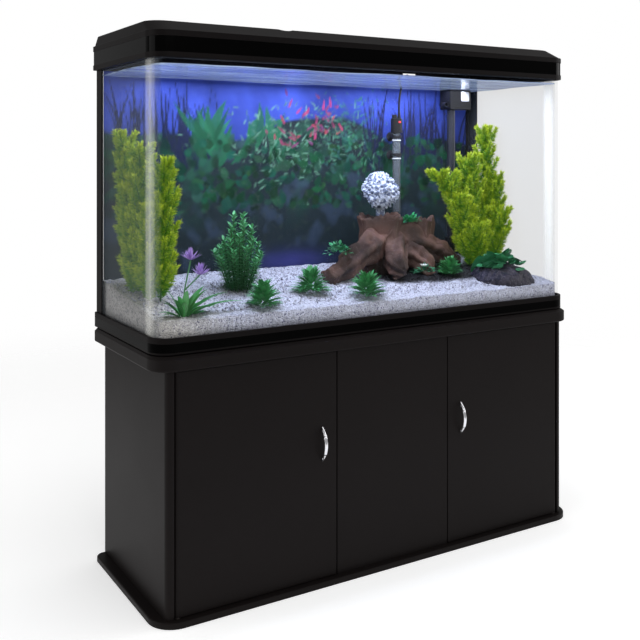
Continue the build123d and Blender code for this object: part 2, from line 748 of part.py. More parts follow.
def tank_top_frame():
    """A lip over the glass's top edge that the hood stands on, with a locating rib."""
    frame = slab(hood_plan(-HOOD_BEAD_PROUD), TOP_FRAME_Z, HOOD_Z)
    frame = ease_at(frame, TOP_FRAME_Z, LIP_R)
    frame -= slab(glass_plan(GLASS_T + TOP_FRAME_FLANGE), TOP_FRAME_Z - THROUGH,
                  HOOD_Z + THROUGH)
    groove = glass_plan(-GLASS_FIT) - glass_plan(GLASS_T + GLASS_FIT)
    frame -= slab(groove, TOP_FRAME_Z - THROUGH, GLASS_TOP_Z)
    rib_inset = BAND_T + SKIN_GAP + HOOD_WALL + HOOD_RIB_GAP
    rib = slab(hood_plan(rib_inset) - hood_plan(rib_inset + RIB_T), HOOD_Z, HOOD_Z + RIB_H)
    return frame + (rib - cord_notch())


# ---------------------------------------------------------------- hood

def cord_notch():
    """The gap in the hood's back wall that the cords leave through."""
    return block(NOTCH_X - NOTCH_W / 2, NOTCH_X + NOTCH_W / 2, BACK_Y - 2 * TOP_FRAME_FLANGE,
                 BACK_Y + THROUGH, HOOD_Z, HOOD_Z + NOTCH_H)


def hood_frame():
    bead_z = HOOD_Z + HOOD_BAND_H
    wall = slab(hood_plan(BAND_T + SKIN_GAP), HOOD_Z, bead_z)
    bead = slab(hood_plan(-HOOD_BEAD_PROUD), bead_z, LID_Z)
    wall += ease_at(ease_at(bead, LID_Z, LIP_R), bead_z, LIP_R)
    inner = hood_plan(BAND_T + SKIN_GAP + HOOD_WALL)
    wall -= slab(inner, HOOD_Z - THROUGH, LID_Z + THROUGH)
    return wall - cord_notch()


def hood_band():
    band = slab(hood_plan(0) - hood_plan(BAND_T), HOOD_Z, HOOD_Z + HOOD_BAND_H)
    return band - cord_notch()


def lid_shape(inset, z0, z1):
    """The lid's wedge: a long sloping front, nearly upright sides and back."""
    low_inset = LID_INSET + inset
    side_inset = low_inset + LID_SIDE_RUN
    front_r, back_r = BAND_CORNER_R - low_inset, LID_BACK_R - inset
    low = plan(HOOD_W - 2 * low_inset, HOOD_FRONT_Y + low_inset, HOOD_BACK_Y - low_inset,
               front_r, back_r)
    high = plan(HOOD_W - 2 * side_inset, LID_TOP_FRONT_Y + inset,
                HOOD_BACK_Y - low_inset - LID_BACK_RUN, front_r, back_r)
    return loft([Pos(0, 0, z0) * low, Pos(0, 0, z1) * high])


def flap_opening(inset, z0, z1):
    half = FLAP_W / 2 + FLAP_GAP - inset
    rear = FLAP_FRONT_Y + FLAP_D + FLAP_GAP - inset
    return block(FLAP_X - half, FLAP_X + half, FLAP_FRONT_Y - FLAP_GAP + inset, rear, z0, z1)


def finger_scoop():
    return along_y(FLAP_X, LID_TOP_Z + SCOOP_R - SCOOP_DEPTH, LID_TOP_FRONT_Y - SCOOP_LENGTH / 2,
                   LID_TOP_FRONT_Y + SCOOP_LENGTH, SCOOP_R)


def hood_top():
    lid = lid_shape(0, LID_Z, LID_TOP_Z)
    lid = ease_at(lid, LID_TOP_Z, LID_EDGE_R)
    lid -= lid_shape(LID_WALL, LID_Z - OVERSHOOT, LID_TOP_Z - LID_PLATE_T)
    plate_z = LID_TOP_Z - LID_PLATE_T
    ledge_top = plate_z - FLAP_LEDGE_GAP
    lid += flap_opening(-FLAP_LEDGE_W, ledge_top - FLAP_LEDGE_T, plate_z)
    lid -= flap_opening(0, ledge_top, LID_TOP_Z + THROUGH)
    lid -= flap_opening(FLAP_LEDGE_W, ledge_top - FLAP_LEDGE_T - THROUGH, LID_TOP_Z)
    reach = FLAP_W / 2 + FLAP_PIN_L + FLAP_GAP
    lid -= along_x(FLAP_AXIS_Y, FLAP_AXIS_Z, FLAP_X - reach, FLAP_X + reach, FLAP_PIN_R + RUN)
    return lid - finger_scoop()


def feeding_flap():
    """A flap whose back edge is a half round about its two moulded pins."""
    half = FLAP_W / 2
    flap = block(FLAP_X - half, FLAP_X + half, FLAP_FRONT_Y, FLAP_AXIS_Y,
                 LID_TOP_Z - LID_PLATE_T, LID_TOP_Z)
    flap -= finger_scoop()
    flap += along_x(FLAP_AXIS_Y, FLAP_AXIS_Z, FLAP_X - half, FLAP_X + half, LID_PLATE_T / 2)
    reach = half + FLAP_PIN_L
    return flap + along_x(FLAP_AXIS_Y, FLAP_AXIS_Z, FLAP_X - reach, FLAP_X + reach, FLAP_PIN_R)


def lamp_z():
    """Underside of the lamp's housing."""
    return LID_TOP_Z - LID_PLATE_T - LAMP_DROP - LAMP_H


def lamp_housing():
    x, y0, y1 = LAMP_W / 2, LAMP_Y - LAMP_D / 2, LAMP_Y + LAMP_D / 2
    z0, z1 = lamp_z(), lamp_z() + LAMP_H
    housing = block(-x, x, y0, y1, z0, z1)
    housing = fillet(housing.edges().filter_by(Axis.X).group_by(Axis.Z)[-1], LAMP_H / 3)
    housing -= block(-x + LAMP_WALL, x - LAMP_WALL, y0 + LAMP_WALL, y1 - LAMP_WALL,
                     z0 - THROUGH, z1 - LAMP_WALL)
    for post_x in (-LAMP_POST_X, LAMP_POST_X):
        housing += block(post_x - LAMP_POST_W / 2, post_x + LAMP_POST_W / 2,
                         LAMP_Y - LAMP_D / 4, LAMP_Y + LAMP_D / 4, z1, z1 + LAMP_DROP)
    return housing


def lamp_diffuser():
    x, y0, y1 = LAMP_W / 2, LAMP_Y - LAMP_D / 2, LAMP_Y + LAMP_D / 2
    return block(-x, x, y0, y1, lamp_z() - DIFFUSER_T, lamp_z())


# ---------------------------------------------------------------- heater

def heater_tube():
    bottom = CAP_Z - HEATER_TUBE_L
    tube = upright(HEATER_X, HEATER_Y, bottom, CAP_Z, HEATER_R)
    tube = ease_at(tube, bottom, HEATER_R - HEATER_WALL)
    bore = upright(HEATER_X, HEATER_Y, bottom + HEATER_WALL, CAP_Z + THROUGH,
                   HEATER_R - HEATER_WALL)
    return tube - ease_at(bore, bottom + HEATER_WALL, HEATER_R - 2 * HEATER_WALL)


def heater_cap():
    cap = upright(HEATER_X, HEATER_Y, CAP_Z, CAP_TOP_Z, HEATER_CAP_R)
    cap = ease_at(ease_at(cap, CAP_TOP_Z, LIP_R), CAP_Z, LIP_R)
    cap += upright(HEATER_X, HEATER_Y, CAP_Z - HEATER_PLUG_L, CAP_Z,
                   HEATER_R - HEATER_WALL - PRESS)
    cap += Pos(HEATER_X + GLAND_X, HEATER_Y, CAP_TOP_Z + GLAND_H / 2) * Cone(
        GLAND_R, GLAND_TIP_R, GLAND_H)
    return cap - upright(HEATER_X + KNOB_X, HEATER_Y, CAP_TOP_Z - KNOB_STEM_L -
                         KNOB_STEM_GAP, CAP_TOP_Z + THROUGH, KNOB_STEM_R + RUN)


def heater_knob():
    base_z = CAP_TOP_Z + KNOB_LIFT
    knob = upright(HEATER_X + KNOB_X, HEATER_Y, base_z, base_z + KNOB_H, KNOB_R)
    knob = ease_at(knob, base_z + KNOB_H, LIP_R)
    knob += upright(HEATER_X + KNOB_X, HEATER_Y, CAP_TOP_Z - KNOB_STEM_L, base_z, KNOB_STEM_R)
    pointer = block(HEATER_X + KNOB_X - POINTER_W / 2, HEATER_X + KNOB_X + POINTER_W / 2,
                    HEATER_Y - KNOB_R, HEATER_Y, base_z + KNOB_H, base_z + KNOB_H + POINTER_H)
    return knob + pointer


def heater_clip(z):
    """A ring round the tube with a suction cup on the back pane."""
    outer_r = HEATER_R + CLIP_T
    cup_y = INNER_BACK_Y - CUP_GAP
    ring = upright(HEATER_X, HEATER_Y, z - CLIP_H / 2, z + CLIP_H / 2, outer_r)
    ring += along_y(HEATER_X, z, HEATER_Y + HEATER_R, cup_y - CUP_D, CUP_NECK_R)
    ring += Pos(HEATER_X, cup_y - CUP_D / 2, z) * Rot(-90, 0, 0) * Cone(
        CUP_NECK_R, CUP_R, CUP_D)
    return ring - upright(HEATER_X, HEATER_Y, z - CUP_R - THROUGH, z + CUP_R + THROUGH,
                          HEATER_R + PRESS)


def heater_clips():
    clips = []
    for below in CLIP_BELOW_CAP:
        clips += heater_clip(CAP_Z - below).solids()
    return Compound(clips)


# ---------------------------------------------------------------- pump

def pump_housing():
    """A box behind the cover, with the impeller's chamber, its fixed shaft and two ports."""
    x0, x1 = PUMP_X - PUMP_W / 2, PUMP_X + PUMP_W / 2
    body = block(x0, x1, PUMP_FRONT_Y + COVER_T, PUMP_BACK_Y, PUMP_Z, PUMP_TOP_Z)
    body = fillet(body.edges().filter_by(Axis.Y), PUMP_EDGE_R)
    chamber_top = CHAMBER_Z + CHAMBER_H
    body -= upright(CHAMBER_MID_X, CHAMBER_MID_Y, CHAMBER_Z, chamber_top, CHAMBER_R)
    body -= upright(CHAMBER_MID_X, CHAMBER_MID_Y, PUMP_Z - THROUGH, CHAMBER_Z, PIPE_BORE_R)
    body -= along_x(CHAMBER_MID_Y, CHAMBER_Z + CHAMBER_H / 2, x0 - THROUGH, CHAMBER_MID_X,
                    NOZZLE_R + RUN)
    return body + upright(CHAMBER_MID_X, CHAMBER_MID_Y, CHAMBER_Z + SHAFT_LIFT,
                          chamber_top, SHAFT_R)


def pump_cover():
    x0, x1 = PUMP_X - PUMP_W / 2, PUMP_X + PUMP_W / 2
    cover = block(x0, x1, PUMP_FRONT_Y, PUMP_FRONT_Y + COVER_T, PUMP_Z, PUMP_TOP_Z)
    cover = fillet(cover.edges().filter_by(Axis.Y), PUMP_EDGE_R)
    return fillet(cover.edges().group_by(Axis.Y)[0], COVER_T / 2)


def pump_impeller():
    z0 = CHAMBER_Z + (CHAMBER_H - IMPELLER_H) / 2
    z1 = z0 + IMPELLER_H
    wheel = upright(CHAMBER_MID_X, CHAMBER_MID_Y, z0, z1, IMPELLER_HUB_R)
    wheel += upright(CHAMBER_MID_X, CHAMBER_MID_Y, z1 - VANE_T, z1, IMPELLER_R)
    for i in range(IMPELLER_VANES):
        vane = Pos(IMPELLER_R / 2, 0, 0) * Box(IMPELLER_R - VANE_INSET, VANE_T,
                                               IMPELLER_H - VANE_T)
        turn = Rot(0, 0, i * 360 / IMPELLER_VANES)
        wheel += Pos(CHAMBER_MID_X, CHAMBER_MID_Y, (z0 + z1 - VANE_T) / 2) * turn * vane
    return wheel - upright(CHAMBER_MID_X, CHAMBER_MID_Y, z0 - THROUGH, z1 + THROUGH,
                           SHAFT_R + RUN)


def pump_nozzle():
    """An elbow that turns in the outlet port: a short neck, then a spout facing forward."""
    z = CHAMBER_Z + CHAMBER_H / 2
    port_x = PUMP_X - PUMP_W / 2
    end_x = port_x - NOZZLE_L
    elbow = along_x(CHAMBER_MID_Y, z, end_x, port_x + NOZZLE_IN, NOZZLE_R)
    spout_x = end_x + NOZZLE_R
    elbow += along_y(spout_x, z, CHAMBER_MID_Y - SPOUT_L, CHAMBER_MID_Y, NOZZLE_R)
    elbow -= along_x(CHAMBER_MID_Y, z, spout_x, port_x + NOZZLE_IN + THROUGH, NOZZLE_BORE_R)
    return elbow - along_y(spout_x, z, CHAMBER_MID_Y - SPOUT_L - THROUGH, CHAMBER_MID_Y,
                           NOZZLE_BORE_R)


def pump_pipe():
    pipe = upright(CHAMBER_MID_X, CHAMBER_MID_Y, PUMP_Z - PIPE_L, PUMP_Z, PIPE_R)
    return pipe - upright(CHAMBER_MID_X, CHAMBER_MID_Y, PUMP_Z - PIPE_L - THROUGH,
                          PUMP_Z + THROUGH, PIPE_BORE_R)


def pump_strainer():
    """A slotted cap over the foot of the intake pipe."""
    z1 = PUMP_Z - PIPE_L
    z0 = z1 - STRAINER_H
    cap = ease_at(upright(CHAMBER_MID_X, CHAMBER_MID_Y, z0, z1, STRAINER_R), z0, LIP_R * 2)
    cap -= upright(CHAMBER_MID_X, CHAMBER_MID_Y, z0 + LIP_R * 2, z1 + THROUGH, PIPE_BORE_R)
    for i in range(STRAINER_SLOTS):
        slot = Pos(STRAINER_R, 0, 0) * Box(2 * (STRAINER_R - STRAINER_CORE_R),
                                           STRAINER_SLOT_W,
                                           STRAINER_H - 2 * STRAINER_SLOT_END)
        cap -= Pos(CHAMBER_MID_X, CHAMBER_MID_Y, (z0 + z1) / 2) * Rot(
            0, 0, i * 360 / STRAINER_SLOTS) * slot
    return cap


def pump_clip():
    """A hook from the pump's top over the top frame's inner flange."""
    x0 = CHAMBER_MID_X + PUMP_CLIP_X - PUMP_CLIP_W / 2
    x1 = x0 + PUMP_CLIP_W
    y1 = INNER_BACK_Y - TOP_FRAME_FLANGE - PUMP_CLIP_CLEAR
    y0 = y1 - PUMP_CLIP_T
    hook_z = HOOD_Z + PUMP_CLIP_GAP
    hook = block(x0, x1, y0, y1, PUMP_TOP_Z, hook_z + PUMP_CLIP_T)
    hook += block(x0, x1, y0, INNER_BACK_Y, hook_z, hook_z + PUMP_CLIP_T)
    for x in (x0, (x0 + x1 - PUMP_CLIP_T) / 2, x1 - PUMP_CLIP_T):
        hook += block(x, x + PUMP_CLIP_T, y0 - 2 * PUMP_CLIP_T, y0, PUMP_TOP_Z, HOOD_Z)
    return hook


# ---------------------------------------------------------------- dressing

def gravel_top(y):
    """Height of the gravel, which rises evenly from the front pane to the back pane."""
    share = (y - GLASS_FRONT_Y) / (GLASS_BACK_Y - GLASS_FRONT_Y)
    return FLOOR_Z + GRAVEL_FRONT_H + share * (GRAVEL_BACK_H - GRAVEL_FRONT_H)


def pit_z(y):
    return gravel_top(y) - BURIED


def dress_xy(place):
    """Where a piece of dressing stands, from its shares of the inside."""
    mid_y = (INNER_FRONT_Y + INNER_BACK_Y) / 2
    return place[0] * (INNER_X - DRESS_MARGIN), mid_y + place[1] * (INNER_BACK_Y - mid_y)


def pit(place, root_r):
    x, y = dress_xy(place)
    return upright(x, y, pit_z(y), FLOOR_Z + 2 * GRAVEL_BACK_H, root_r + GRAVEL_GAP)


def rooted(place, root_r, crown):
    """A turned piece on a round root in its own pit; the crown's heights are from the floor."""
    x, y = dress_xy(place)
    clear_z = gravel_top(y + root_r) + ROOT_CLEAR
    profile = [(root_r, pit_z(y)), (root_r, clear_z)] + [(r, FLOOR_Z + h) for r, h in crown]
    return turned(x, y, profile)


def dress_limb(place, start, start_r, end, end_r):
    """A limb between two points given from the piece's middle and the tank's floor."""
    x, y = dress_xy(place)
    points = [(x + dx, y + dy, FLOOR_Z + h) for dx, dy, h in (start, end)]
    return limb(points[0], start_r, points[1], end_r)


def gravel():
    """A bed with a sloping top and a round pit under each piece that stands in it."""
    bed = slab(glass_plan(GLASS_T + GRAVEL_GAP), FLOOR_Z, FLOOR_Z + GRAVEL_BACK_H)
    front, back = GLASS_FRONT_Y - THROUGH, GLASS_BACK_Y + THROUGH
    above = FLOOR_Z + 2 * GRAVEL_BACK_H
    profile = make_face(Polyline([(0, front, gravel_top(front)), (0, back, gravel_top(back)),
                                  (0, back, above), (0, front, above)], close=True))
    bed -= Pos(-TANK_W, 0, 0) * extrude(profile, amount=2 * TANK_W, dir=(1, 0, 0))
    for place in (STUMP, MOUND, FERN_LEFT, FERN_RIGHT, FLOWER, BUSH):
        bed -= pit(place, place[2])
    for place in CLUMPS:
        bed -= pit(place, CLUMP_ROOT_R)
    return bed


def stump():
    """A hollow trunk on spreading roots, with a second, lower trunk on the right one."""
    trunk = rooted(STUMP, STUMP[2], STUMP_CROWN)
    for each in STUMP_LIMBS:
        trunk += dress_limb(STUMP, *each)
    x, y = dress_xy(STUMP)
    hollow_z = FLOOR_Z + STUMP_HOLLOW_H
    return trunk - upright(x, y, hollow_z, hollow_z + 2 * STUMP_HOLLOW_H, STUMP_HOLLOW_R)


def coral_ball():
    """A ball of coral on a stem that stands on the floor of the stump's hollow."""
    x, y = dress_xy(STUMP)
    ball = Pos(x, y, FLOOR_Z + CORAL_H) * Sphere(CORAL_R)
    return ball + upright(x, y, FLOOR_Z + STUMP_HOLLOW_H, FLOOR_Z + CORAL_H, CORAL_STEM_R)


def rock_mound():
    return rooted(MOUND, MOUND[2], MOUND_CROWN)


def fern_left():
    """A tall plume with a second one behind it."""
    plume = rooted(FERN_LEFT, FERN_LEFT[2], FERN_LEFT_CROWN)
    return plume + dress_limb(FERN_LEFT, *FERN_LEFT_LIMB)


def fern_right():
    """A tall plume with a second one leaning out to the left."""
    plume = rooted(FERN_RIGHT, FERN_RIGHT[2], FERN_RIGHT_CROWN)
    return plume + dress_limb(FERN_RIGHT, *FERN_RIGHT_LIMB)


def flower_plant():
    """An upright tuft with one long leaf lying out to the right."""
    tuft = rooted(FLOWER, FLOWER[2], FLOWER_CROWN)
    return tuft + dress_limb(FLOWER, *FLOWER_LEAF)


def bush_plant():
    return rooted(BUSH, BUSH[2], BUSH_CROWN)


def leaf_clumps():
    clumps = []
    for place in CLUMPS:
        spread = place[2]
        low = gravel_top(dress_xy(place)[1] + spread) + ROOT_CLEAR - FLOOR_Z
        crown = [(spread, low + CLUMP_H / 3), (spread * CLUMP_TIP, low + CLUMP_H)]
        clumps += rooted(place, CLUMP_ROOT_R, crown).solids()
    return Compound(clumps)


# ---------------------------------------------------------------- cord

def cord_radii(route):
    """The largest arc that each corner's two runs leave room for."""
    points = [Vector(*p) for p in route]
    radii = []
    for before, here, after in zip(points, points[1:], points[2:]):
        run_in, run_out = here - before, after - here
        turn = run_in.get_angle(run_out)
        radii.append(BEND_SHARE * min(run_in.length, run_out.length) / tan(radians(turn) / 2))
    return radii


def heater_cord():
    radii = cord_radii(CORD_ROUTE)
    print("cord radii", [round(r) for r in radii])
    path = FilletPolyline(*CORD_ROUTE, radius=radii)
    start = Plane(origin=path @ 0, z_dir=path % 0)
    tube = sweep(start * Circle(CORD_D / 2), path=path)
    expected = pi * (CORD_D / 2) ** 2 * path.length
    print("cord length", round(path.length), "volume share", round(tube.volume / expected, 4))
    return tube


def heater_cord_coil():
    ring = Pos(COIL_X, COIL_Y, COIL_H / 2) * (
        Cylinder(COIL_R + COIL_HALF_W, COIL_H) - Cylinder(COIL_R - COIL_HALF_W, COIL_H))
    return fillet(ring.edges(), COIL_HALF_W / 2)


def heater_plug():
    """A round-shouldered two-pin plug with a tapered tail, lying beside the coil."""
    mid_z = PLUG_H / 2
    tail_x = COIL_X - COIL_R
    y = COIL_Y + COIL_R
    body = block(tail_x - PLUG_TAIL - PLUG_L, tail_x - PLUG_TAIL, y - PLUG_W / 2,
                 y + PLUG_W / 2, 0, PLUG_H)
    face_x = tail_x - PLUG_TAIL - PLUG_L
    body += block(face_x, face_x + PLUG_FACE_L, y - PLUG_FACE_W / 2, y + PLUG_FACE_W / 2,
                  0, PLUG_H)
    body = fillet(body.edges().filter_by(Axis.X), PLUG_EDGE_R)
    body += Pos(tail_x - PLUG_TAIL / 2, y, mid_z) * Rot(0, -90, 0) * Cone(
        CORD_D / 2 + PLUG_TAIL_WALL, PLUG_H / 2 - PLUG_TAIL_STEP, PLUG_TAIL)
    for side in (-1, 1):
        body += along_x(y + side * PLUG_PIN_SPACING / 2, mid_z, face_x - PLUG_PIN_L,
                        face_x + PLUG_PIN_IN, PLUG_PIN_R)
    return body


# ---------------------------------------------------------------- parts

def all_parts():
    standing = {
        "stump": stump(),
        "rock_mound": rock_mound(),
        "coral_ball": coral_ball(),
        "fern_left": fern_left(),
        "fern_right": fern_right(),
        "flower_plant": flower_plant(),
        "bush_plant": bush_plant(),
        "leaf_clumps": leaf_clumps(),
    }
    parts = {
        "base_board": base_board(),
        "cabinet_side_left": cabinet_side(-1),
        "cabinet_side_right": cabinet_side(1),
        "cabinet_back": cabinet_back(),
        "partition_left": partition(LEFT_BAY_X, LEFT_BAY_X + BOARD_T),
        "partition_right": partition(RIGHT_BAY_X - BOARD_T, RIGHT_BAY_X),
        "centre_panel": centre_panel(),
        "cabinet_top": cabinet_top(),
        "base_screws": base_screws(),
        "pivot_bushes": pivot_bushes(),
        "magnet_catches": magnet_catches(),
        "foam_mat": foam_mat(),
        "tank_base_frame": tank_base_frame(),
        "tank_base_band": tank_base_band(),
        "glass_bottom": glass_bottom(),
        "glass_front": glass_front(),
        "glass_back": glass_back(),
        "silicone_seams": silicone_seams(),
        "corner_posts": corner_posts(),
        "background_film": background_film(),
        "tank_top_frame": tank_top_frame(),
        "hood_frame": hood_frame(),
        "hood_band": hood_band(),
        "hood_top": hood_top(),
        "feeding_flap": feeding_flap(),
        "lamp_housing": lamp_housing(),
        "lamp_diffuser": lamp_diffuser(),
        "heater_tube": heater_tube(),
        "heater_cap": heater_cap(),
        "heater_knob": heater_knob(),
        "heater_clips": heater_clips(),
        "heater_cord": heater_cord(),
        "heater_cord_coil": heater_cord_coil(),
        "heater_plug": heater_plug(),
        "pump_housing": pump_housing(),
        "pump_cover": pump_cover(),
        "pump_impeller": pump_impeller(),
        "pump_nozzle": pump_nozzle(),
        "pump_pipe": pump_pipe(),
        "pump_strainer": pump_strainer(),
        "pump_clip": pump_clip(),
        "gravel": gravel(),
    }
    for side, name in ((-1, "left"), (1, "right")):
        parts["door_" + name] = door(side)
        parts["door_pins_" + name] = door_pins(side)
        parts["handle_" + name] = handle(side)
        parts["handle_screws_" + name] = handle_screws(side)
        parts["strike_" + name] = strike(side)
    parts.update(standing)
    return parts


os.makedirs("parts", exist_ok=True)
for part_name, shape in all_parts().items():
    export_step(shape, "parts/" + part_name + ".step")
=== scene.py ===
import bmesh
import bpy
import numpy as np
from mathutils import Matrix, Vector


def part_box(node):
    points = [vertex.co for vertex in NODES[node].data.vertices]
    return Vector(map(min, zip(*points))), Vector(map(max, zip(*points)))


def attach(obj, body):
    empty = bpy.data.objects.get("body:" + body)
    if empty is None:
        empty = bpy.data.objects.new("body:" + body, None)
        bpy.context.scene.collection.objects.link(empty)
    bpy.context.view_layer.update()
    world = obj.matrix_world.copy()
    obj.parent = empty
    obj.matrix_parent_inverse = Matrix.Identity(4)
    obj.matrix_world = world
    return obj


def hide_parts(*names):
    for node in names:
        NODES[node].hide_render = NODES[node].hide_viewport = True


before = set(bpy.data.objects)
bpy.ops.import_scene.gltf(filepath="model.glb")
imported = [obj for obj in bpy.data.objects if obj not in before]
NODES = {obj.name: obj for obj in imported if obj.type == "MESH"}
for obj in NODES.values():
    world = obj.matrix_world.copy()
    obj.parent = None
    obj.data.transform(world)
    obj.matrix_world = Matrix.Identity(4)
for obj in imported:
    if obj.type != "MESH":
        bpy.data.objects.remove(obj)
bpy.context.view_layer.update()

bl_info = {
    "name": "Aquarium on stand",
    "version": (1, 0, 0),
    "blender": (4, 5, 0),
    "location": "3D View > Sidebar > Aquarium",
    "description": "Dresses a bent-glass tank on a cabinet: finishes, planting, water, light",
    "category": "Object",
}

ROOT = "aquarium"

GLASS_LOW, GLASS_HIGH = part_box("glass_front")
FLOOR_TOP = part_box("glass_bottom")[1].z
GRAVEL_LOW, GRAVEL_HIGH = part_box("gravel")
FILM_LOW, FILM_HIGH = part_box("background_film")
TUBE_LOW, TUBE_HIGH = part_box("heater_tube")
CAP_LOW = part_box("heater_cap")[0]
IN_LOW = Vector((GRAVEL_LOW.x, GRAVEL_LOW.y, FLOOR_TOP))
IN_HIGH = Vector((GRAVEL_HIGH.x, GRAVEL_HIGH.y, GLASS_HIGH.z))
INNER_BEND = 0.0295             # radius of the front corners inside the panes
BED_FRONT_Y, BED_DEPTH = -0.1865, 0.398
BED_FRONT_Z, BED_RISE = 0.639, 0.050
LAMP_LIGHT_Z = 1.186            # just under the water's surface
PILOT_Z = 1.090
GOLDEN_TURN = 2.4               # radians from one leaf or stem to the next


# ------------------------------------------------------------------ settings

class AquariumSettings(bpy.types.PropertyGroup):
    """Sizes and colours a user would change."""

    water_level: bpy.props.FloatProperty(
        name="Water level", description="Height of the water's surface above the floor",
        default=GLASS_HIGH.z - 0.020, unit="LENGTH")
    gravel_ripple: bpy.props.FloatProperty(
        name="Gravel ripple", description="How far the gravel's surface rises and dips",
        default=0.004, unit="LENGTH")
    needle_length: bpy.props.FloatProperty(
        name="Needle length", description="Length of one needle of the ferns", default=0.015,
        unit="LENGTH")
    cord_diameter: bpy.props.FloatProperty(
        name="Cord diameter", description="Diameter of the heater's cord", default=0.006,
        unit="LENGTH")


class AquariumColours(bpy.types.PropertyGroup):
    """Base colours of the main finishes."""

    board: bpy.props.FloatVectorProperty(
        name="Cabinet foil", description="Dark foil on the cabinet's boards",
        subtype="COLOR", size=3, default=(0.0080, 0.0062, 0.0060))
    trim: bpy.props.FloatVectorProperty(
        name="Matt trim", description="Moulded trim of the tank and hood",
        subtype="COLOR", size=3, default=(0.0070, 0.0058, 0.0058))
    band: bpy.props.FloatVectorProperty(
        name="Gloss band", description="Polished bands round the tank and hood",
        subtype="COLOR", size=3, default=(0.0003, 0.0003, 0.0003))
    gravel_light: bpy.props.FloatVectorProperty(
        name="Gravel, light grains", description="Most of the gravel", subtype="COLOR",
        size=3, default=(0.60, 0.60, 0.67))
    gravel_dark: bpy.props.FloatVectorProperty(
        name="Gravel, dark grains", description="Scattered dark grains", subtype="COLOR",
        size=3, default=(0.20, 0.20, 0.27))
    lamp: bpy.props.FloatVectorProperty(
        name="Lamp light", description="Cool light of the hood's lamp", subtype="COLOR",
        size=3, default=(0.78, 0.84, 1.0))


def settings():
    return bpy.context.scene.aquarium_settings


def colours():
    return bpy.context.scene.aquarium_colours


# ------------------------------------------------------------------ meshes

def grid_faces(nu, nv, wrap_u=False, wrap_v=False):
    """Quads of a grid of nu by nv points, joined round where a way is wrapped."""
    i = np.arange(nu if wrap_u else nu - 1)[:, None]
    j = np.arange(nv if wrap_v else nv - 1)[None, :]
    i2, j2 = (i + 1) % nu, (j + 1) % nv
    return np.stack(np.broadcast_arrays(i * nv + j, i2 * nv + j, i2 * nv + j2, i * nv + j2),
                    -1).reshape(-1, 4)


def tidy_shell(mesh):
    """Merges a closed shell's doubled points and turns its faces outwards."""
    work = bmesh.new()
    work.from_mesh(mesh)
    bmesh.ops.remove_doubles(work, verts=work.verts, dist=2e-6)
    bmesh.ops.dissolve_degenerate(work, edges=work.edges, dist=1e-7)
    bmesh.ops.recalc_face_normals(work, faces=work.faces)
    work.to_mesh(mesh)
    work.free()


def piece(name, points, faces, finish, body=ROOT, tint=None, closed=True, smooth=True):
    """Makes a mesh piece from whole arrays of points and quads, and lets it ride on a body."""
    points = np.asarray(points, np.float32).reshape(-1, 3)
    faces = np.asarray(faces, np.int32)
    mesh = bpy.data.meshes.new(name)
    mesh.vertices.add(len(points))
    mesh.vertices.foreach_set("co", points.ravel())
    mesh.loops.add(faces.size)
    mesh.loops.foreach_set("vertex_index", faces.ravel())
    mesh.polygons.add(len(faces))
    mesh.polygons.foreach_set("loop_start", np.arange(0, faces.size, faces.shape[1]))
    mesh.update(calc_edges=True)
    if tint is not None:
        layer = mesh.color_attributes.new("tint", "FLOAT_COLOR", "POINT")
        rgba = np.ones((len(points), 4), np.float32)
        rgba[:, :3] = np.asarray(tint).reshape(-1, 3)
        layer.data.foreach_set("color", rgba.ravel())
    if closed:
        tidy_shell(mesh)
    mesh.validate()
    mesh.polygons.foreach_set("use_smooth", [smooth] * len(mesh.polygons))
    made = bpy.data.objects.new(name, mesh)
    bpy.context.scene.collection.objects.link(made)
    mesh.materials.append(finish)
    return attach(made, body)


def joined(parts):
    """Several (points, faces) pairs as one pair."""
    points, faces, start = [], [], 0
    for p, f in parts:
        p = np.asarray(p).reshape(-1, 3)
        points.append(p)
        faces.append(np.asarray(f) + start)
        start += len(p)
    return np.concatenate(points), np.concatenate(faces)


def unit(ways):
    return ways / np.linalg.norm(ways, axis=-1, keepdims=True)


def tank_plan(columns, rows):
    """A grid that fills the tank's inside seen from above, drawn in at the two front bends."""
    y = np.linspace(GRAVEL_LOW.y, GRAVEL_HIGH.y, rows)[None, :]
    near = np.clip(INNER_BEND - (y - GRAVEL_LOW.y), 0, INNER_BEND)
    inset = INNER_BEND - np.sqrt(INNER_BEND ** 2 - near ** 2)
    x = np.linspace(-1, 1, columns)[:, None] * (GRAVEL_HIGH.x - inset)
    return x, y + 0 * x


def closed_sheet(over, under, middle=None):
    """A sheet's top and underside as one loop of rows, shut at both ends half way down."""
    points = np.concatenate([over, under], 1)
    ends = points[[0, -1]].copy()
    ends[..., 2] = (ends[..., 2] + ends[:, ::-1, 2]) / 2 if middle is None else middle
    return np.concatenate([ends[:1], points, ends[1:]])


def waves(points, scale, seed, octaves=3):
    """Smooth noise of about -1 to 1: sine waves in seeded directions, each octave twice as
    fine and 0.55 as strong as the one before."""
    rng = np.random.default_rng(int(seed))
    total = np.zeros(points.shape[:-1])
    weight = 1.0
    for octave in range(octaves):
        ways = rng.normal(size=(5, 3))
        ways = unit(ways)
        phase = rng.uniform(0, 2 * np.pi, 5)
        total += weight * np.sin(points @ ways.T * scale * 2 ** octave + phase).mean(-1) * 1.6
        weight *= 0.55
    return total


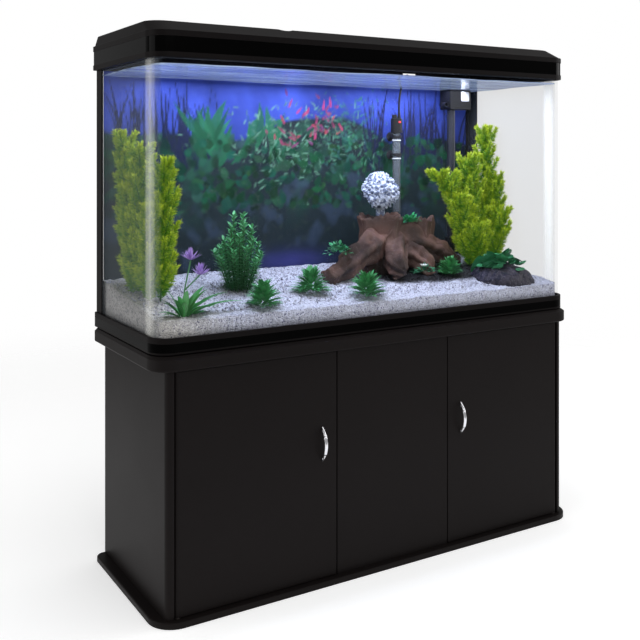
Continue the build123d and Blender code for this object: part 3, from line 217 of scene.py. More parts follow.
def tube_points(path, radii, sides):
    """A tube round a path: each ring is cos and sin of the angle along two directions square
    to the path, times that ring's radius. Both ends close to a point."""
    path = np.asarray(path, float)
    radii = np.asarray(radii, float)
    along = np.gradient(path, axis=0)
    along = unit(along)
    side = np.cross(along, np.array([0.13, 0.31, 0.94]))
    side = unit(side)
    up = np.cross(along, side)
    angle = np.linspace(0, 2 * np.pi, sides, endpoint=False)
    ring = (np.cos(angle)[None, :, None] * side[:, None, :]
            + np.sin(angle)[None, :, None] * up[:, None, :])
    points = path[:, None, :] + radii[:, None, None] * ring
    ends = [np.repeat(path[k][None, None, :], sides, 1) for k in (0, -1)]
    points = np.concatenate([ends[0], points, ends[1]])
    return points, grid_faces(len(path) + 2, sides, wrap_v=True)


def turned_points(centre, profile, sides):
    """A profile of (radius, height) turned about an upright line through centre."""
    profile = np.asarray(profile, float)
    angle = np.linspace(0, 2 * np.pi, sides, endpoint=False)
    r, z = profile[:, 0][:, None], profile[:, 1][:, None]
    points = np.stack([centre[0] + r * np.cos(angle), centre[1] + r * np.sin(angle),
                       z + 0 * angle], -1)
    return points, grid_faces(len(profile), sides, wrap_v=True)


def blade_points(base, way, droop, length, width, rows=6, crease=0.25):
    """Leaf blades. A spine runs base + s*length*way + s*s*length*droop for s from 0 to 1, and
    its two edges stand off it by width*sin(pi*s^0.75), raised by crease times that."""
    s = np.linspace(0, 1, rows)[None, :, None]
    base, way, droop = (np.asarray(v, float)[:, None, :] for v in (base, way, droop))
    length = np.asarray(length, float).reshape(-1, 1, 1)
    width = np.asarray(width, float).reshape(-1, 1, 1)
    spine = base + length * (s * way + s * s * droop)
    run = way + 2 * s * droop
    run = unit(run)
    across = np.cross(run, np.array([0.0, 0.0, 1.0]))
    across /= np.maximum(np.linalg.norm(across, axis=-1, keepdims=True), 1e-6)
    face = np.cross(across, run)
    half = width * (np.sin(np.pi * s ** 0.75) * 0.96 + 0.04 * (1 - s))
    lift = face * half * crease
    points = np.stack([spine - across * half + lift, spine, spine + across * half + lift], 2)
    count = points.shape[0]
    one = grid_faces(rows, 3)
    faces = (one[None] + np.arange(count)[:, None, None] * rows * 3).reshape(-1, 4)
    return points.reshape(-1, 3), faces


def needle_points(base, way, length, width, rng):
    """Needles: each a diamond from base to base + length*way, widest at two fifths."""
    random = rng.normal(size=base.shape)
    across = np.cross(way, random)
    across = unit(across)
    mid = base + 0.4 * length[:, None] * way
    tip = base + length[:, None] * way
    points = np.stack([base, mid + across * width[:, None], tip,
                       mid - across * width[:, None]], 1)
    return points.reshape(-1, 3), np.arange(len(base) * 4).reshape(-1, 4)


# ------------------------------------------------------------------ shader node groups

def new_group(name, inputs, outputs):
    """An empty node group with named sockets, given as (name, kind, default)."""
    group = bpy.data.node_groups.new(name, "ShaderNodeTree")
    for label, kind, default in inputs:
        socket = group.interface.new_socket(label, in_out="INPUT", socket_type=kind)
        if default is not None:
            socket.default_value = default
    for label, kind in outputs:
        group.interface.new_socket(label, in_out="OUTPUT", socket_type=kind)
    return group, group.nodes.new("NodeGroupInput"), group.nodes.new("NodeGroupOutput")


def node(tree, kind, values=(), **props):
    made = tree.nodes.new(kind)
    for key, value in props.items():
        setattr(made, key, value)
    for key, value in dict(values).items():
        made.inputs[key].default_value = value
    return made


VECTOR, FLOAT, COLOUR = "NodeSocketVector", "NodeSocketFloat", "NodeSocketColor"


def build_mottle():
    """Two colours mixed by soft noise, with a finer noise over it."""
    g, put, out = new_group("mottle", [
        ("Vector", VECTOR, None), ("Colour A", COLOUR, None), ("Colour B", COLOUR, None),
        ("Scale", FLOAT, 6.0), ("Fine Scale", FLOAT, 60.0), ("Balance", FLOAT, 0.5)],
        [("Colour", COLOUR), ("Mask", FLOAT)])
    broad = node(g, "ShaderNodeTexNoise", {"Detail": 5.0, "Roughness": 0.6})
    fine = node(g, "ShaderNodeTexNoise", {"Detail": 3.0})
    sum_ = node(g, "ShaderNodeMath", operation="MULTIPLY_ADD")
    sum_.inputs[1].default_value = 0.35
    shift = node(g, "ShaderNodeMath", operation="ADD")
    ramp = node(g, "ShaderNodeMapRange", {"From Min": 0.9, "From Max": 1.45})
    mix = node(g, "ShaderNodeMix", data_type="RGBA")
    link = g.links.new
    for noise, scale in ((broad, "Scale"), (fine, "Fine Scale")):
        link(put.outputs["Vector"], noise.inputs["Vector"])
        link(put.outputs[scale], noise.inputs["Scale"])
    link(fine.outputs["Fac"], sum_.inputs[0])
    link(broad.outputs["Fac"], sum_.inputs[2])
    link(sum_.outputs[0], shift.inputs[0])
    link(put.outputs["Balance"], shift.inputs[1])
    link(shift.outputs[0], ramp.inputs["Value"])
    link(ramp.outputs["Result"], mix.inputs["Factor"])
    link(put.outputs["Colour A"], mix.inputs["A"])
    link(put.outputs["Colour B"], mix.inputs["B"])
    link(mix.outputs["Result"], out.inputs["Colour"])
    link(ramp.outputs["Result"], out.inputs["Mask"])
    return g


def build_handling():
    """Dust and rubbed patches: a roughness and a fine height that change over the surface."""
    g, put, out = new_group("handling", [
        ("Vector", VECTOR, None), ("Roughness", FLOAT, 0.4), ("Spread", FLOAT, 0.1),
        ("Patch Scale", FLOAT, 5.0), ("Grain Scale", FLOAT, 900.0)],
        [("Roughness", FLOAT), ("Height", FLOAT)])
    patch = node(g, "ShaderNodeTexNoise", {"Detail": 6.0, "Roughness": 0.65})
    grain = node(g, "ShaderNodeTexNoise", {"Detail": 2.0})
    centre = node(g, "ShaderNodeMath", operation="SUBTRACT")
    centre.inputs[1].default_value = 0.5
    scaled = node(g, "ShaderNodeMath", operation="MULTIPLY")
    total = node(g, "ShaderNodeMath", operation="ADD", use_clamp=True)
    link = g.links.new
    for noise, scale in ((patch, "Patch Scale"), (grain, "Grain Scale")):
        link(put.outputs["Vector"], noise.inputs["Vector"])
        link(put.outputs[scale], noise.inputs["Scale"])
    link(patch.outputs["Fac"], centre.inputs[0])
    link(centre.outputs[0], scaled.inputs[0])
    link(put.outputs["Spread"], scaled.inputs[1])
    link(scaled.outputs[0], total.inputs[0])
    link(put.outputs["Roughness"], total.inputs[1])
    link(total.outputs[0], out.inputs["Roughness"])
    link(grain.outputs["Fac"], out.inputs["Height"])
    return g


def build_grains():
    """Packed grains: cells with their own shade, and a rounded height to each."""
    g, put, out = new_group("grains", [
        ("Vector", VECTOR, None), ("Scale", FLOAT, 200.0), ("Light", COLOUR, None),
        ("Dark", COLOUR, None), ("Dark Share", FLOAT, 0.12)],
        [("Colour", COLOUR), ("Height", FLOAT)])
    cell = node(g, "ShaderNodeTexVoronoi", feature="F1")
    parts = node(g, "ShaderNodeSeparateColor")
    dark = node(g, "ShaderNodeMath", operation="LESS_THAN")
    shade = node(g, "ShaderNodeMapRange", {"To Min": 0.62, "To Max": 1.0})
    tone = node(g, "ShaderNodeMix", data_type="RGBA", blend_type="MULTIPLY")
    tone.inputs["Factor"].default_value = 1.0
    mix = node(g, "ShaderNodeMix", data_type="RGBA")
    height = node(g, "ShaderNodeMath", operation="SUBTRACT")
    height.inputs[0].default_value = 1.0
    link = g.links.new
    link(put.outputs["Vector"], cell.inputs["Vector"])
    link(put.outputs["Scale"], cell.inputs["Scale"])
    link(cell.outputs["Color"], parts.inputs["Color"])
    link(parts.outputs[0], dark.inputs[0])
    link(put.outputs["Dark Share"], dark.inputs[1])
    link(parts.outputs[1], shade.inputs["Value"])
    link(put.outputs["Light"], tone.inputs["A"])
    link(shade.outputs["Result"], tone.inputs["B"])
    link(dark.outputs[0], mix.inputs["Factor"])
    link(tone.outputs["Result"], mix.inputs["A"])
    link(put.outputs["Dark"], mix.inputs["B"])
    link(mix.outputs["Result"], out.inputs["Colour"])
    link(cell.outputs["Distance"], height.inputs[1])
    link(height.outputs[0], out.inputs["Height"])
    return g


GROUPS = {"mottle": build_mottle, "handling": build_handling, "grains": build_grains}


def effect(tree, name, source, **values):
    """Places a shared effect in a material, reading the given coordinates."""
    made = tree.nodes.new("ShaderNodeGroup")
    made.node_tree = bpy.data.node_groups.get(name) or GROUPS[name]()
    for key, value in values.items():
        socket = made.inputs[key.replace("_", " ")]
        socket.default_value = (*value, 1.0) if socket.type == "RGBA" else value
    tree.links.new(source, made.inputs["Vector"])
    return made


# ------------------------------------------------------------------ materials

def shell(name, **values):
    """A material with its Principled shader's own sockets set."""
    made = bpy.data.materials.new(name)
    made.use_nodes = True
    shader = made.node_tree.nodes["Principled BSDF"]
    for key, value in values.items():
        socket = shader.inputs[key.replace("_", " ")]
        socket.default_value = (*value, 1.0) if socket.type == "RGBA" and len(value) == 3 else value
    coords = made.node_tree.nodes.new("ShaderNodeTexCoord").outputs["Object"]
    return made, made.node_tree, shader, coords


def bump(tree, shader, height, strength, distance):
    made = node(tree, "ShaderNodeBump", {"Strength": strength, "Distance": distance})
    tree.links.new(height, made.inputs["Height"])
    tree.links.new(made.outputs["Normal"], shader.inputs["Normal"])
    return made


def darker(colour, share):
    return tuple(share * c for c in colour)


def handled(name, colour, roughness, other=None, spread=0.12, patch=5.0, grain=900.0,
            strength=0.12, depth=0.0002, balance=0.5, fine=60.0, broad=6.0, **values):
    """A plain moulded, foiled or metal finish with mottled colour, handling marks and grain."""
    made, tree, shader, coords = shell(name, **values)
    mottle = effect(tree, "mottle", coords, Colour_A=colour,
                    Colour_B=other or darker(colour, 0.82), Scale=broad, Fine_Scale=fine,
                    Balance=balance)
    marks = effect(tree, "handling", coords, Roughness=roughness, Spread=spread,
                   Patch_Scale=patch, Grain_Scale=grain)
    tree.links.new(mottle.outputs["Colour"], shader.inputs["Base Color"])
    tree.links.new(marks.outputs["Roughness"], shader.inputs["Roughness"])
    bump(tree, shader, marks.outputs["Height"], strength, depth)
    return made


def foiled_board():
    return handled("foiled_board", tuple(colours().board), 0.46, spread=0.10, patch=3.0,
                   grain=1400.0, strength=0.22, depth=0.00015, broad=2.5,
                   IOR=1.16)


def matt_trim():
    return handled("matt_trim", tuple(colours().trim), 0.42, spread=0.12, grain=1800.0,
                   strength=0.18, depth=0.0001, IOR=1.12)


def polished_band():
    return handled("polished_band", tuple(colours().band), 0.09, spread=0.05, patch=9.0,
                   strength=0.02, depth=0.00005, IOR=1.12)


def pane_glass(name="pane_glass", alpha=0.004, tint=(0.80, 0.82, 0.80), gloss=0.16):
    """Clear pane: nearly see-through face on, milky where a bend or an edge gathers light: a
    painted highlight behind each bend, a painted sheen on the side panes.
    """
    made, tree, shader, coords = shell(name, Roughness=0.03, Specular_IOR_Level=gloss)
    link = tree.links.new
    split = node(tree, "ShaderNodeSeparateXYZ")
    link(coords, split.inputs[0])
    away = node(tree, "ShaderNodeMath", operation="ABSOLUTE")
    link(split.outputs["X"], away.inputs[0])
    # Mask of the side panes, which take a painted sheen.
    side = node(tree, "ShaderNodeMapRange", {
        "From Min": GLASS_HIGH.x - 0.016, "From Max": GLASS_HIGH.x - 0.009},
        interpolation_type="SMOOTHSTEP")
    link(away.outputs[0], side.inputs["Value"])
    # Painted highlight: light gathers in a bright upright streak just behind each bend.
    off = node(tree, "ShaderNodeMath", operation="SUBTRACT")
    off.inputs[1].default_value = GLASS_LOW.y + 0.052
    link(split.outputs["Y"], off.inputs[0])
    near = node(tree, "ShaderNodeMath", operation="ABSOLUTE")
    link(off.outputs[0], near.inputs[0])
    highlight_streak = node(tree, "ShaderNodeMapRange", {"From Min": 0.026, "From Max": 0.008},
                  interpolation_type="SMOOTHSTEP")
    link(near.outputs[0], highlight_streak.inputs["Value"])
    bend_highlight = node(tree, "ShaderNodeMath", operation="MULTIPLY")
    link(side.outputs[0], bend_highlight.inputs[0])
    link(highlight_streak.outputs[0], bend_highlight.inputs[1])
    # Smudges vary the pane's alpha; their colour also paints the bends' highlight.
    smear_and_highlight = effect(tree, "mottle", coords, Colour_A=tint, Colour_B=(0.95, 0.94, 0.88),
                   Scale=4.0, Fine_Scale=30.0, Balance=0.5)
    film = node(tree, "ShaderNodeMath", operation="MULTIPLY_ADD")
    film.inputs[1].default_value = 0.010
    film.inputs[2].default_value = alpha
    link(smear_and_highlight.outputs["Mask"], film.inputs[0])
    # The side panes' painted sheen raises the alpha.
    ends = node(tree, "ShaderNodeMath", operation="MULTIPLY_ADD")
    ends.inputs[1].default_value = 0.14
    link(side.outputs[0], ends.inputs[0])
    link(film.outputs[0], ends.inputs[2])
    total = node(tree, "ShaderNodeMath", operation="MULTIPLY_ADD", use_clamp=True)
    total.inputs[1].default_value = 0.15
    link(bend_highlight.outputs[0], total.inputs[0])
    link(ends.outputs[0], total.inputs[2])
    # Colour: the smudge tone in the bends' painted highlight, dark grey elsewhere.
    tone = node(tree, "ShaderNodeMix", data_type="RGBA")
    tone.inputs["A"].default_value = (0.13, 0.15, 0.17, 1.0)
    link(bend_highlight.outputs[0], tone.inputs["Factor"])
    link(smear_and_highlight.outputs["Colour"], tone.inputs["B"])
    link(total.outputs[0], shader.inputs["Alpha"])
    link(tone.outputs["Result"], shader.inputs["Base Color"])
    return made


def tinted(name, roughness, spread=0.2, grain=300.0, strength=0.2, depth=0.0004, light=0.0,
           **values):
    """A finish whose colour is the piece's own tint, varied by soft noise; given light, the tint
    also glows, a painted glow.
    """
    made, tree, shader, coords = shell(name, **values)
    tint = node(tree, "ShaderNodeAttribute", attribute_name="tint")
    mottle = effect(tree, "mottle", coords, Colour_A=(1.0, 1.0, 1.0),
                    Colour_B=(0.72, 0.74, 0.70), Scale=18.0, Fine_Scale=260.0, Balance=0.5)
    tone = node(tree, "ShaderNodeMix", data_type="RGBA", blend_type="MULTIPLY")
    tone.inputs["Factor"].default_value = 1.0
    tree.links.new(tint.outputs["Color"], tone.inputs["A"])
    tree.links.new(mottle.outputs["Colour"], tone.inputs["B"])
    tree.links.new(tone.outputs["Result"], shader.inputs["Base Color"])
    # With light set, the tint feeds the emission too: a painted glow on a piece that is no lamp.
    if light:
        tree.links.new(tone.outputs["Result"], shader.inputs["Emission Color"])
        shader.inputs["Emission Strength"].default_value = light
    marks = effect(tree, "handling", coords, Roughness=roughness, Spread=spread,
                   Patch_Scale=40.0, Grain_Scale=grain)
    tree.links.new(marks.outputs["Roughness"], shader.inputs["Roughness"])
    bump(tree, shader, marks.outputs["Height"], strength, depth)
    return made


def pale_gravel():
    made, tree, shader, coords = shell("pale_gravel", Specular_IOR_Level=0.3)
    grains = effect(tree, "grains", coords, Scale=330.0, Light=tuple(colours().gravel_light),
                    Dark=tuple(colours().gravel_dark), Dark_Share=0.09)
    # The tint carries the painted shadow under the stump and the rock.
    tint = node(tree, "ShaderNodeAttribute", attribute_name="tint")
    tone = node(tree, "ShaderNodeMix", data_type="RGBA", blend_type="MULTIPLY")
    tone.inputs["Factor"].default_value = 1.0
    tree.links.new(grains.outputs["Colour"], tone.inputs["A"])
    tree.links.new(tint.outputs["Color"], tone.inputs["B"])
    tree.links.new(tone.outputs["Result"], shader.inputs["Base Color"])
    marks = effect(tree, "handling", coords, Roughness=0.6, Spread=0.3, Patch_Scale=80.0,
                   Grain_Scale=700.0)
    tree.links.new(marks.outputs["Roughness"], shader.inputs["Roughness"])
    bump(tree, shader, grains.outputs["Height"], 0.9, 0.003)
    return made


def rough_stone(name, light, dark, scale):
    made, tree, shader, coords = shell(name, Specular_IOR_Level=0.35)
    grains = effect(tree, "grains", coords, Scale=scale, Light=light, Dark=dark,
                    Dark_Share=0.35)
    marks = effect(tree, "handling", coords, Roughness=0.7, Spread=0.3, Patch_Scale=30.0,
                   Grain_Scale=500.0)
    tree.links.new(grains.outputs["Colour"], shader.inputs["Base Color"])
    tree.links.new(marks.outputs["Roughness"], shader.inputs["Roughness"])
    bump(tree, shader, grains.outputs["Height"], 0.8, 0.004)
    return made


def lamp_glow():
    """Opal cover with two brighter streaks where the tubes run behind it."""
    made, tree, shader, coords = shell("lamp_glow", Base_Color=(0.9, 0.93, 1.0),
                                       Roughness=0.35)
    wave = node(tree, "ShaderNodeTexWave", {"Scale": 3.8, "Distortion": 0.4},
                wave_type="BANDS", bands_direction="Y")
    tree.links.new(coords, wave.inputs["Vector"])
    ramp = node(tree, "ShaderNodeMix", data_type="RGBA")
    ramp.inputs["A"].default_value = (*darker(tuple(colours().lamp), 0.6), 1)
    ramp.inputs["B"].default_value = (*tuple(colours().lamp), 1)
    tree.links.new(wave.outputs["Fac"], ramp.inputs["Factor"])
    tree.links.new(ramp.outputs["Result"], shader.inputs["Emission Color"])
    shader.inputs["Emission Strength"].default_value = 4.0
    return made


def water_skin():
    """Water's surface: a painted reflection, blue violet with long pale streaks of lamp light, and
    a faint painted glow; glossy and rippled.
    """
    made, tree, shader, coords = shell("water_skin", Alpha=0.88, Specular_IOR_Level=0.9)
    long_ = node(tree, "ShaderNodeMapping")
    long_.inputs["Scale"].default_value = (1.0, 9.0, 1.0)
    tree.links.new(coords, long_.inputs["Vector"])
    # Painted reflection: dark blue violet mottled with long pale streaks of lamp light.
    mottle = effect(tree, "mottle", long_.outputs[0], Colour_A=(0.060, 0.085, 0.30),
                    Colour_B=(0.60, 0.76, 0.92), Scale=2.6, Fine_Scale=9.0, Balance=0.44)
    tree.links.new(mottle.outputs["Colour"], shader.inputs["Base Color"])
    # The same colour glows: a painted glow on the water, which is no lamp.
    tree.links.new(mottle.outputs["Colour"], shader.inputs["Emission Color"])
    shader.inputs["Emission Strength"].default_value = 0.28
    marks = effect(tree, "handling", coords, Roughness=0.10, Spread=0.08, Patch_Scale=12.0,
                   Grain_Scale=26.0)
    tree.links.new(marks.outputs["Roughness"], shader.inputs["Roughness"])
    bump(tree, shader, marks.outputs["Height"], 0.6, 0.006)
    return made


def studio_floor():
    """White floor that thins out to nothing a few metres from the middle."""
    made = handled("studio_floor", (0.92, 0.92, 0.92), 0.8, other=(0.90, 0.90, 0.90),
                   broad=0.4, fine=2.0, strength=0.02, Specular_IOR_Level=0.1)
    tree = made.node_tree
    shader = tree.nodes["Principled BSDF"]
    shader.inputs["Emission Color"].default_value = (1.0, 1.0, 1.0, 1.0)
    shader.inputs["Emission Strength"].default_value = 0.36
    coords = next(n for n in tree.nodes if n.bl_idname == "ShaderNodeTexCoord")
    reach = node(tree, "ShaderNodeVectorMath", operation="LENGTH")
    fade = node(tree, "ShaderNodeMapRange", {"From Min": 3.4, "From Max": 1.2},
                interpolation_type="SMOOTHSTEP")
    tree.links.new(coords.outputs["Object"], reach.inputs[0])
    tree.links.new(reach.outputs["Value"], fade.inputs["Value"])
    tree.links.new(fade.outputs["Result"], shader.inputs["Alpha"])
    return made


MATERIALS = {
    "foiled_board": foiled_board,
    "matt_trim": matt_trim,
    "polished_band": polished_band,
    "pane_glass": pane_glass,
    "tube_glass": lambda: pane_glass("tube_glass", 0.55, (0.05, 0.06, 0.08), 0.4),
    "pale_gravel": pale_gravel,
    "lamp_glow": lamp_glow,
    "water_skin": water_skin,
    "back_board": lambda: handled("back_board", (0.020, 0.018, 0.018), 0.6, grain=700.0,
                                  strength=0.35, depth=0.0003),
    "dark_rubber": lambda: handled("dark_rubber", (0.010, 0.010, 0.011), 0.62, grain=1200.0),
    "polished_nickel": lambda: handled("polished_nickel", (0.78, 0.78, 0.80), 0.14,
                                       other=(0.62, 0.62, 0.65), spread=0.08, Metallic=1.0),
    "plated_steel": lambda: handled("plated_steel", (0.50, 0.51, 0.53), 0.34, Metallic=1.0),
    "nylon": lambda: handled("nylon", (0.035, 0.028, 0.025), 0.5),
    "black_moulding": lambda: handled("black_moulding", (0.010, 0.010, 0.012), 0.36,
                                      grain=1500.0, strength=0.2),
    "grey_pipe": lambda: handled("grey_pipe", (0.022, 0.024, 0.034), 0.32),
    "white_moulding": lambda: handled("white_moulding", (0.74, 0.76, 0.80), 0.4),
    "soft_white": lambda: handled("soft_white", (0.70, 0.72, 0.74), 0.5),
    "dark_clip": lambda: handled("dark_clip", (0.013, 0.013, 0.017), 0.5),
    "cord_sheath": lambda: handled("cord_sheath", (0.012, 0.012, 0.014), 0.5, grain=2500.0),
    "plug_moulding": lambda: handled("plug_moulding", (0.014, 0.014, 0.015), 0.45),
    # The print, leaves, fern needles and petals glow by their light value: a painted glow, not
    # lamps.
    "print": lambda: tinted("print", 0.45, spread=0.1, strength=0.05, light=0.26,
                             Specular_IOR_Level=0.1),
    "leaf": lambda: tinted("leaf", 0.42, light=0.12),
    "fern_leaf": lambda: tinted("fern_leaf", 0.55, light=0.18),
    "petal": lambda: tinted("petal", 0.5, light=0.15),
    "bark": lambda: tinted("bark", 0.66, grain=240.0, strength=0.55, depth=0.0016),
    "dark_rock": lambda: rough_stone("dark_rock", (0.045, 0.040, 0.058), (0.016, 0.016, 0.030),
                                     120.0),
    "white_coral": lambda: rough_stone("white_coral", (0.62, 0.68, 0.84),
                                       (0.14, 0.17, 0.26), 130.0),
    "element": lambda: handled("element", (0.030, 0.032, 0.045), 0.4, Metallic=0.4),
    "red_lamp": lambda: handled("red_lamp", (0.60, 0.03, 0.04), 0.3,
                                Emission_Color=(1.0, 0.05, 0.05), Emission_Strength=0.5),
    "label_card": lambda: handled("label_card", (0.72, 0.73, 0.76), 0.5,
                                  other=(0.60, 0.61, 0.66), fine=420.0, broad=140.0),
    "studio_floor": studio_floor,
}


def finish(name):
    return bpy.data.materials.get(name) or MATERIALS[name]()


NODE_FINISH = {
    "foiled_board": ["base_board", "cabinet_side_left", "cabinet_side_right",
                     "partition_left", "partition_right", "centre_panel", "cabinet_top",
                     "door_left", "door_right"],
    "back_board": ["cabinet_back"],
    "plated_steel": ["base_screws", "door_pins_left", "door_pins_right",
                     "handle_screws_left", "handle_screws_right", "strike_left",
                     "strike_right"],
    "polished_nickel": ["handle_left", "handle_right"],
    "nylon": ["pivot_bushes", "magnet_catches"],
    "dark_rubber": ["foam_mat", "silicone_seams"],
    "matt_trim": ["tank_base_frame", "corner_posts", "tank_top_frame", "hood_frame",
                  "hood_top", "feeding_flap"],
    "polished_band": ["tank_base_band", "hood_band"],
    "pane_glass": ["glass_front", "glass_back", "glass_bottom"],
    "tube_glass": ["heater_tube"],
    "white_moulding": ["lamp_housing"],
    "lamp_glow": ["lamp_diffuser"],
    "black_moulding": ["heater_cap", "heater_knob", "pump_housing", "pump_cover",
                       "pump_nozzle", "pump_clip", "pump_strainer"],
    "grey_pipe": ["pump_pipe", "pump_impeller"],
    "dark_clip": ["heater_clips"],
    "plug_moulding": ["heater_plug"],
}



def gravel_top(y):
    """The bed's height: a straight slope from front to back."""
    return BED_FRONT_Z + BED_RISE * np.clip((y - BED_FRONT_Y) / BED_DEPTH, 0, 1)


# ------------------------------------------------------------------ stage and cord

def look_camera():
    """Eye-height camera to the left of the front, level, with its frame shifted down."""
    data = bpy.data.cameras.new("camera")
    data.lens = 51.64
    data.sensor_width = 36.0
    data.shift_y = -0.261
    data.dof.use_dof = False
    data.clip_end = 60.0
    camera = bpy.data.objects.new("camera", data)
    camera.location = (-1.3044, -2.0107, 1.0001)
    camera.rotation_euler = (np.pi / 2, 0.0, np.radians(-31.3))
    bpy.context.scene.collection.objects.link(camera)
    bpy.context.scene.camera = camera
    return camera


def soft_light(name, place, aim, width, height, watts, colour=(1.0, 1.0, 1.0), seen=True):
    """A rectangular light at place that faces aim."""
    data = bpy.data.lights.new(name, "AREA")
    data.shape = "RECTANGLE"
    data.size, data.size_y, data.energy, data.color = width, height, watts, colour
    made = bpy.data.objects.new(name, data)
    made.location = place
    made.rotation_euler = (Vector(aim) - Vector(place)).to_track_quat("-Z", "Y").to_euler()
    made.visible_camera = False
    made.visible_glossy = seen
    bpy.context.scene.collection.objects.link(made)
    return made


class AQUARIUM_OT_stage(bpy.types.Operator):
    """Camera, pale floor, soft lights and the hood's own lamp light"""
    bl_idname = "aquarium.stage"
    bl_label = "Stage"

    def execute(self, context):
        look_camera()
        world = bpy.data.worlds.new("pale_room")
        world.use_nodes = True
        tree = world.node_tree
        back = tree.nodes["Background"]
        back.inputs["Color"].default_value = (1.0, 1.0, 1.0, 1.0)
        back.inputs["Strength"].default_value = 1.0
        dim = node(tree, "ShaderNodeBackground", {"Strength": 0.50})
        rays = tree.nodes.new("ShaderNodeLightPath")
        mix = tree.nodes.new("ShaderNodeMixShader")
        tree.links.new(rays.outputs["Is Camera Ray"], mix.inputs[0])
        tree.links.new(dim.outputs[0], mix.inputs[1])
        tree.links.new(back.outputs[0], mix.inputs[2])
        tree.links.new(mix.outputs[0], tree.nodes["World Output"].inputs["Surface"])
        context.scene.world = world
        context.scene.view_settings.view_transform = "Standard"
        radius = np.linspace(0.0, 3.5, 10)
        angle = np.linspace(0, 2 * np.pi, 48, endpoint=False)
        disc = np.stack([radius[:, None] * np.cos(angle), radius[:, None] * np.sin(angle),
                         np.full((10, 48), -0.0005)], -1)
        floor = piece("floor", disc, grid_faces(10, 48, wrap_v=True), finish("studio_floor"))
        floor.parent = None
        soft_light("side_softbox", (-3.6, 0.4, 1.3), (0, 0, 0.6), 2.2, 2.4, 34)
        soft_light("front_softbox", (-0.4, -4.2, 2.6), (0, 0, 0.5), 3.2, 1.6, 36)
        soft_light("top_softbox", (0.3, -0.6, 4.2), (0, 0, 0), 3.6, 3.6, 50)
        soft_light("right_softbox", (3.8, -1.2, 1.8), (0, 0, 0.6), 1.8, 2.2, 45)
        lamp = tuple(colours().lamp)
        soft_light("tank_light_back", (0, 0.10, LAMP_LIGHT_Z), (0, 0.10, 0), 1.05, 0.14, 4.6, lamp,
                   seen=False)
        soft_light("tank_light_front", (0, -0.07, LAMP_LIGHT_Z), (0, -0.07, 0), 1.05, 0.14, 4.2,
                   lamp, seen=False)
        return {"FINISHED"}


class AQUARIUM_OT_heater_cord(bpy.types.Operator):
    """The heater's lead: out of the cap, over the back rim, down behind and coiled by its plug"""
    bl_idname = "aquarium.heater_cord"
    bl_label = "Heater cord"

    def execute(self, context):
        run = np.array([
            (294.5, 172, 1121), (294.5, 172, 1146), (299, 174, 1173), (308, 178, 1199),
            (324, 185, 1221), (342, 196, 1232), (357, 213, 1233), (366, 231, 1223),
            (371, 244, 1202), (372, 249, 1172), (369, 246, 1130), (366, 241, 1060),
            (370, 238, 975), (375, 240, 888), (372, 244, 802), (367, 242, 716),
            (369, 238, 630), (375, 239, 544), (376, 243, 458), (371, 245, 372),
            (368, 241, 286), (371, 239, 205), (376, 243, 132), (379, 250, 78),
            (379, 262, 41), (376, 279, 16), (371, 299, 5), (364, 316, 3.4)]) / 1000
        # Two turns side by side on the floor, then the end crosses them to the plug.
        turn = [15, 60, 120, 290, 430, 645, 690, 720, 750, 780, 825]
        reach = [42.5, 38.2, 37.0, 37.0, 30.2, 30.0, 29.6, 30.2, 32.0, 34.0, 36.0]
        rise = [3.2, 3.2, 3.2, 3.2, 3.2, 3.4, 5.4, 8.4, 9.6, 9.6, 9.4]
        angle = np.arange(15, 816, 15)
        r = np.interp(angle, turn, reach) / 991.5
        z = np.interp(angle, turn, rise) / 1000
        a = np.radians(angle)
        coil = np.stack([0.318 + r * np.cos(a), 0.322 + r * np.sin(a), z], -1)
        tail = np.array([(300, 356.5, 8.6), (285, 355, 7.2), (279, 355, 7)]) / 1000
        route = np.concatenate([run, coil, tail])
        data = bpy.data.curves.new("heater_lead", "CURVE")
        data.dimensions = "3D"
        data.bevel_depth = settings().cord_diameter / 2
        data.bevel_resolution = 4
        data.resolution_u = 8
        data.use_fill_caps = True
        spline = data.splines.new("NURBS")
        spline.points.add(len(route) - 1)
        spline.points.foreach_set("co", np.c_[route, np.ones(len(route))].ravel())
        spline.order_u = 3
        spline.use_endpoint_u = True
        data.materials.append(finish("cord_sheath"))
        lead = bpy.data.objects.new("heater_lead", data)
        context.scene.collection.objects.link(lead)
        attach(lead, ROOT)
        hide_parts("heater_cord", "heater_cord_coil")
        return {"FINISHED"}


# ------------------------------------------------------------------ printed background

def stroke_mask(x, z, root, tip, bend, width):
    """How far a point lies inside a leaf stroke: its spine goes straight from root to tip
    with a sideways bow of bend*sin(pi*t), and its half width is width*sin(pi*t^0.7)."""
    span = np.array(tip) - np.array(root)
    length = np.hypot(*span)
    ux, uz = span / length
    t = ((x - root[0]) * ux + (z - root[1]) * uz) / length
    off = -(x - root[0]) * uz + (z - root[1]) * ux - bend * np.sin(np.pi * np.clip(t, 0, 1))
    half = width * np.sin(np.pi * np.clip(t, 0.0, 1) ** 0.7) + 0.0004
    return np.clip((half - np.abs(off)) / 0.0022 + 0.5, 0, 1) * (t > 0) * (t < 1)


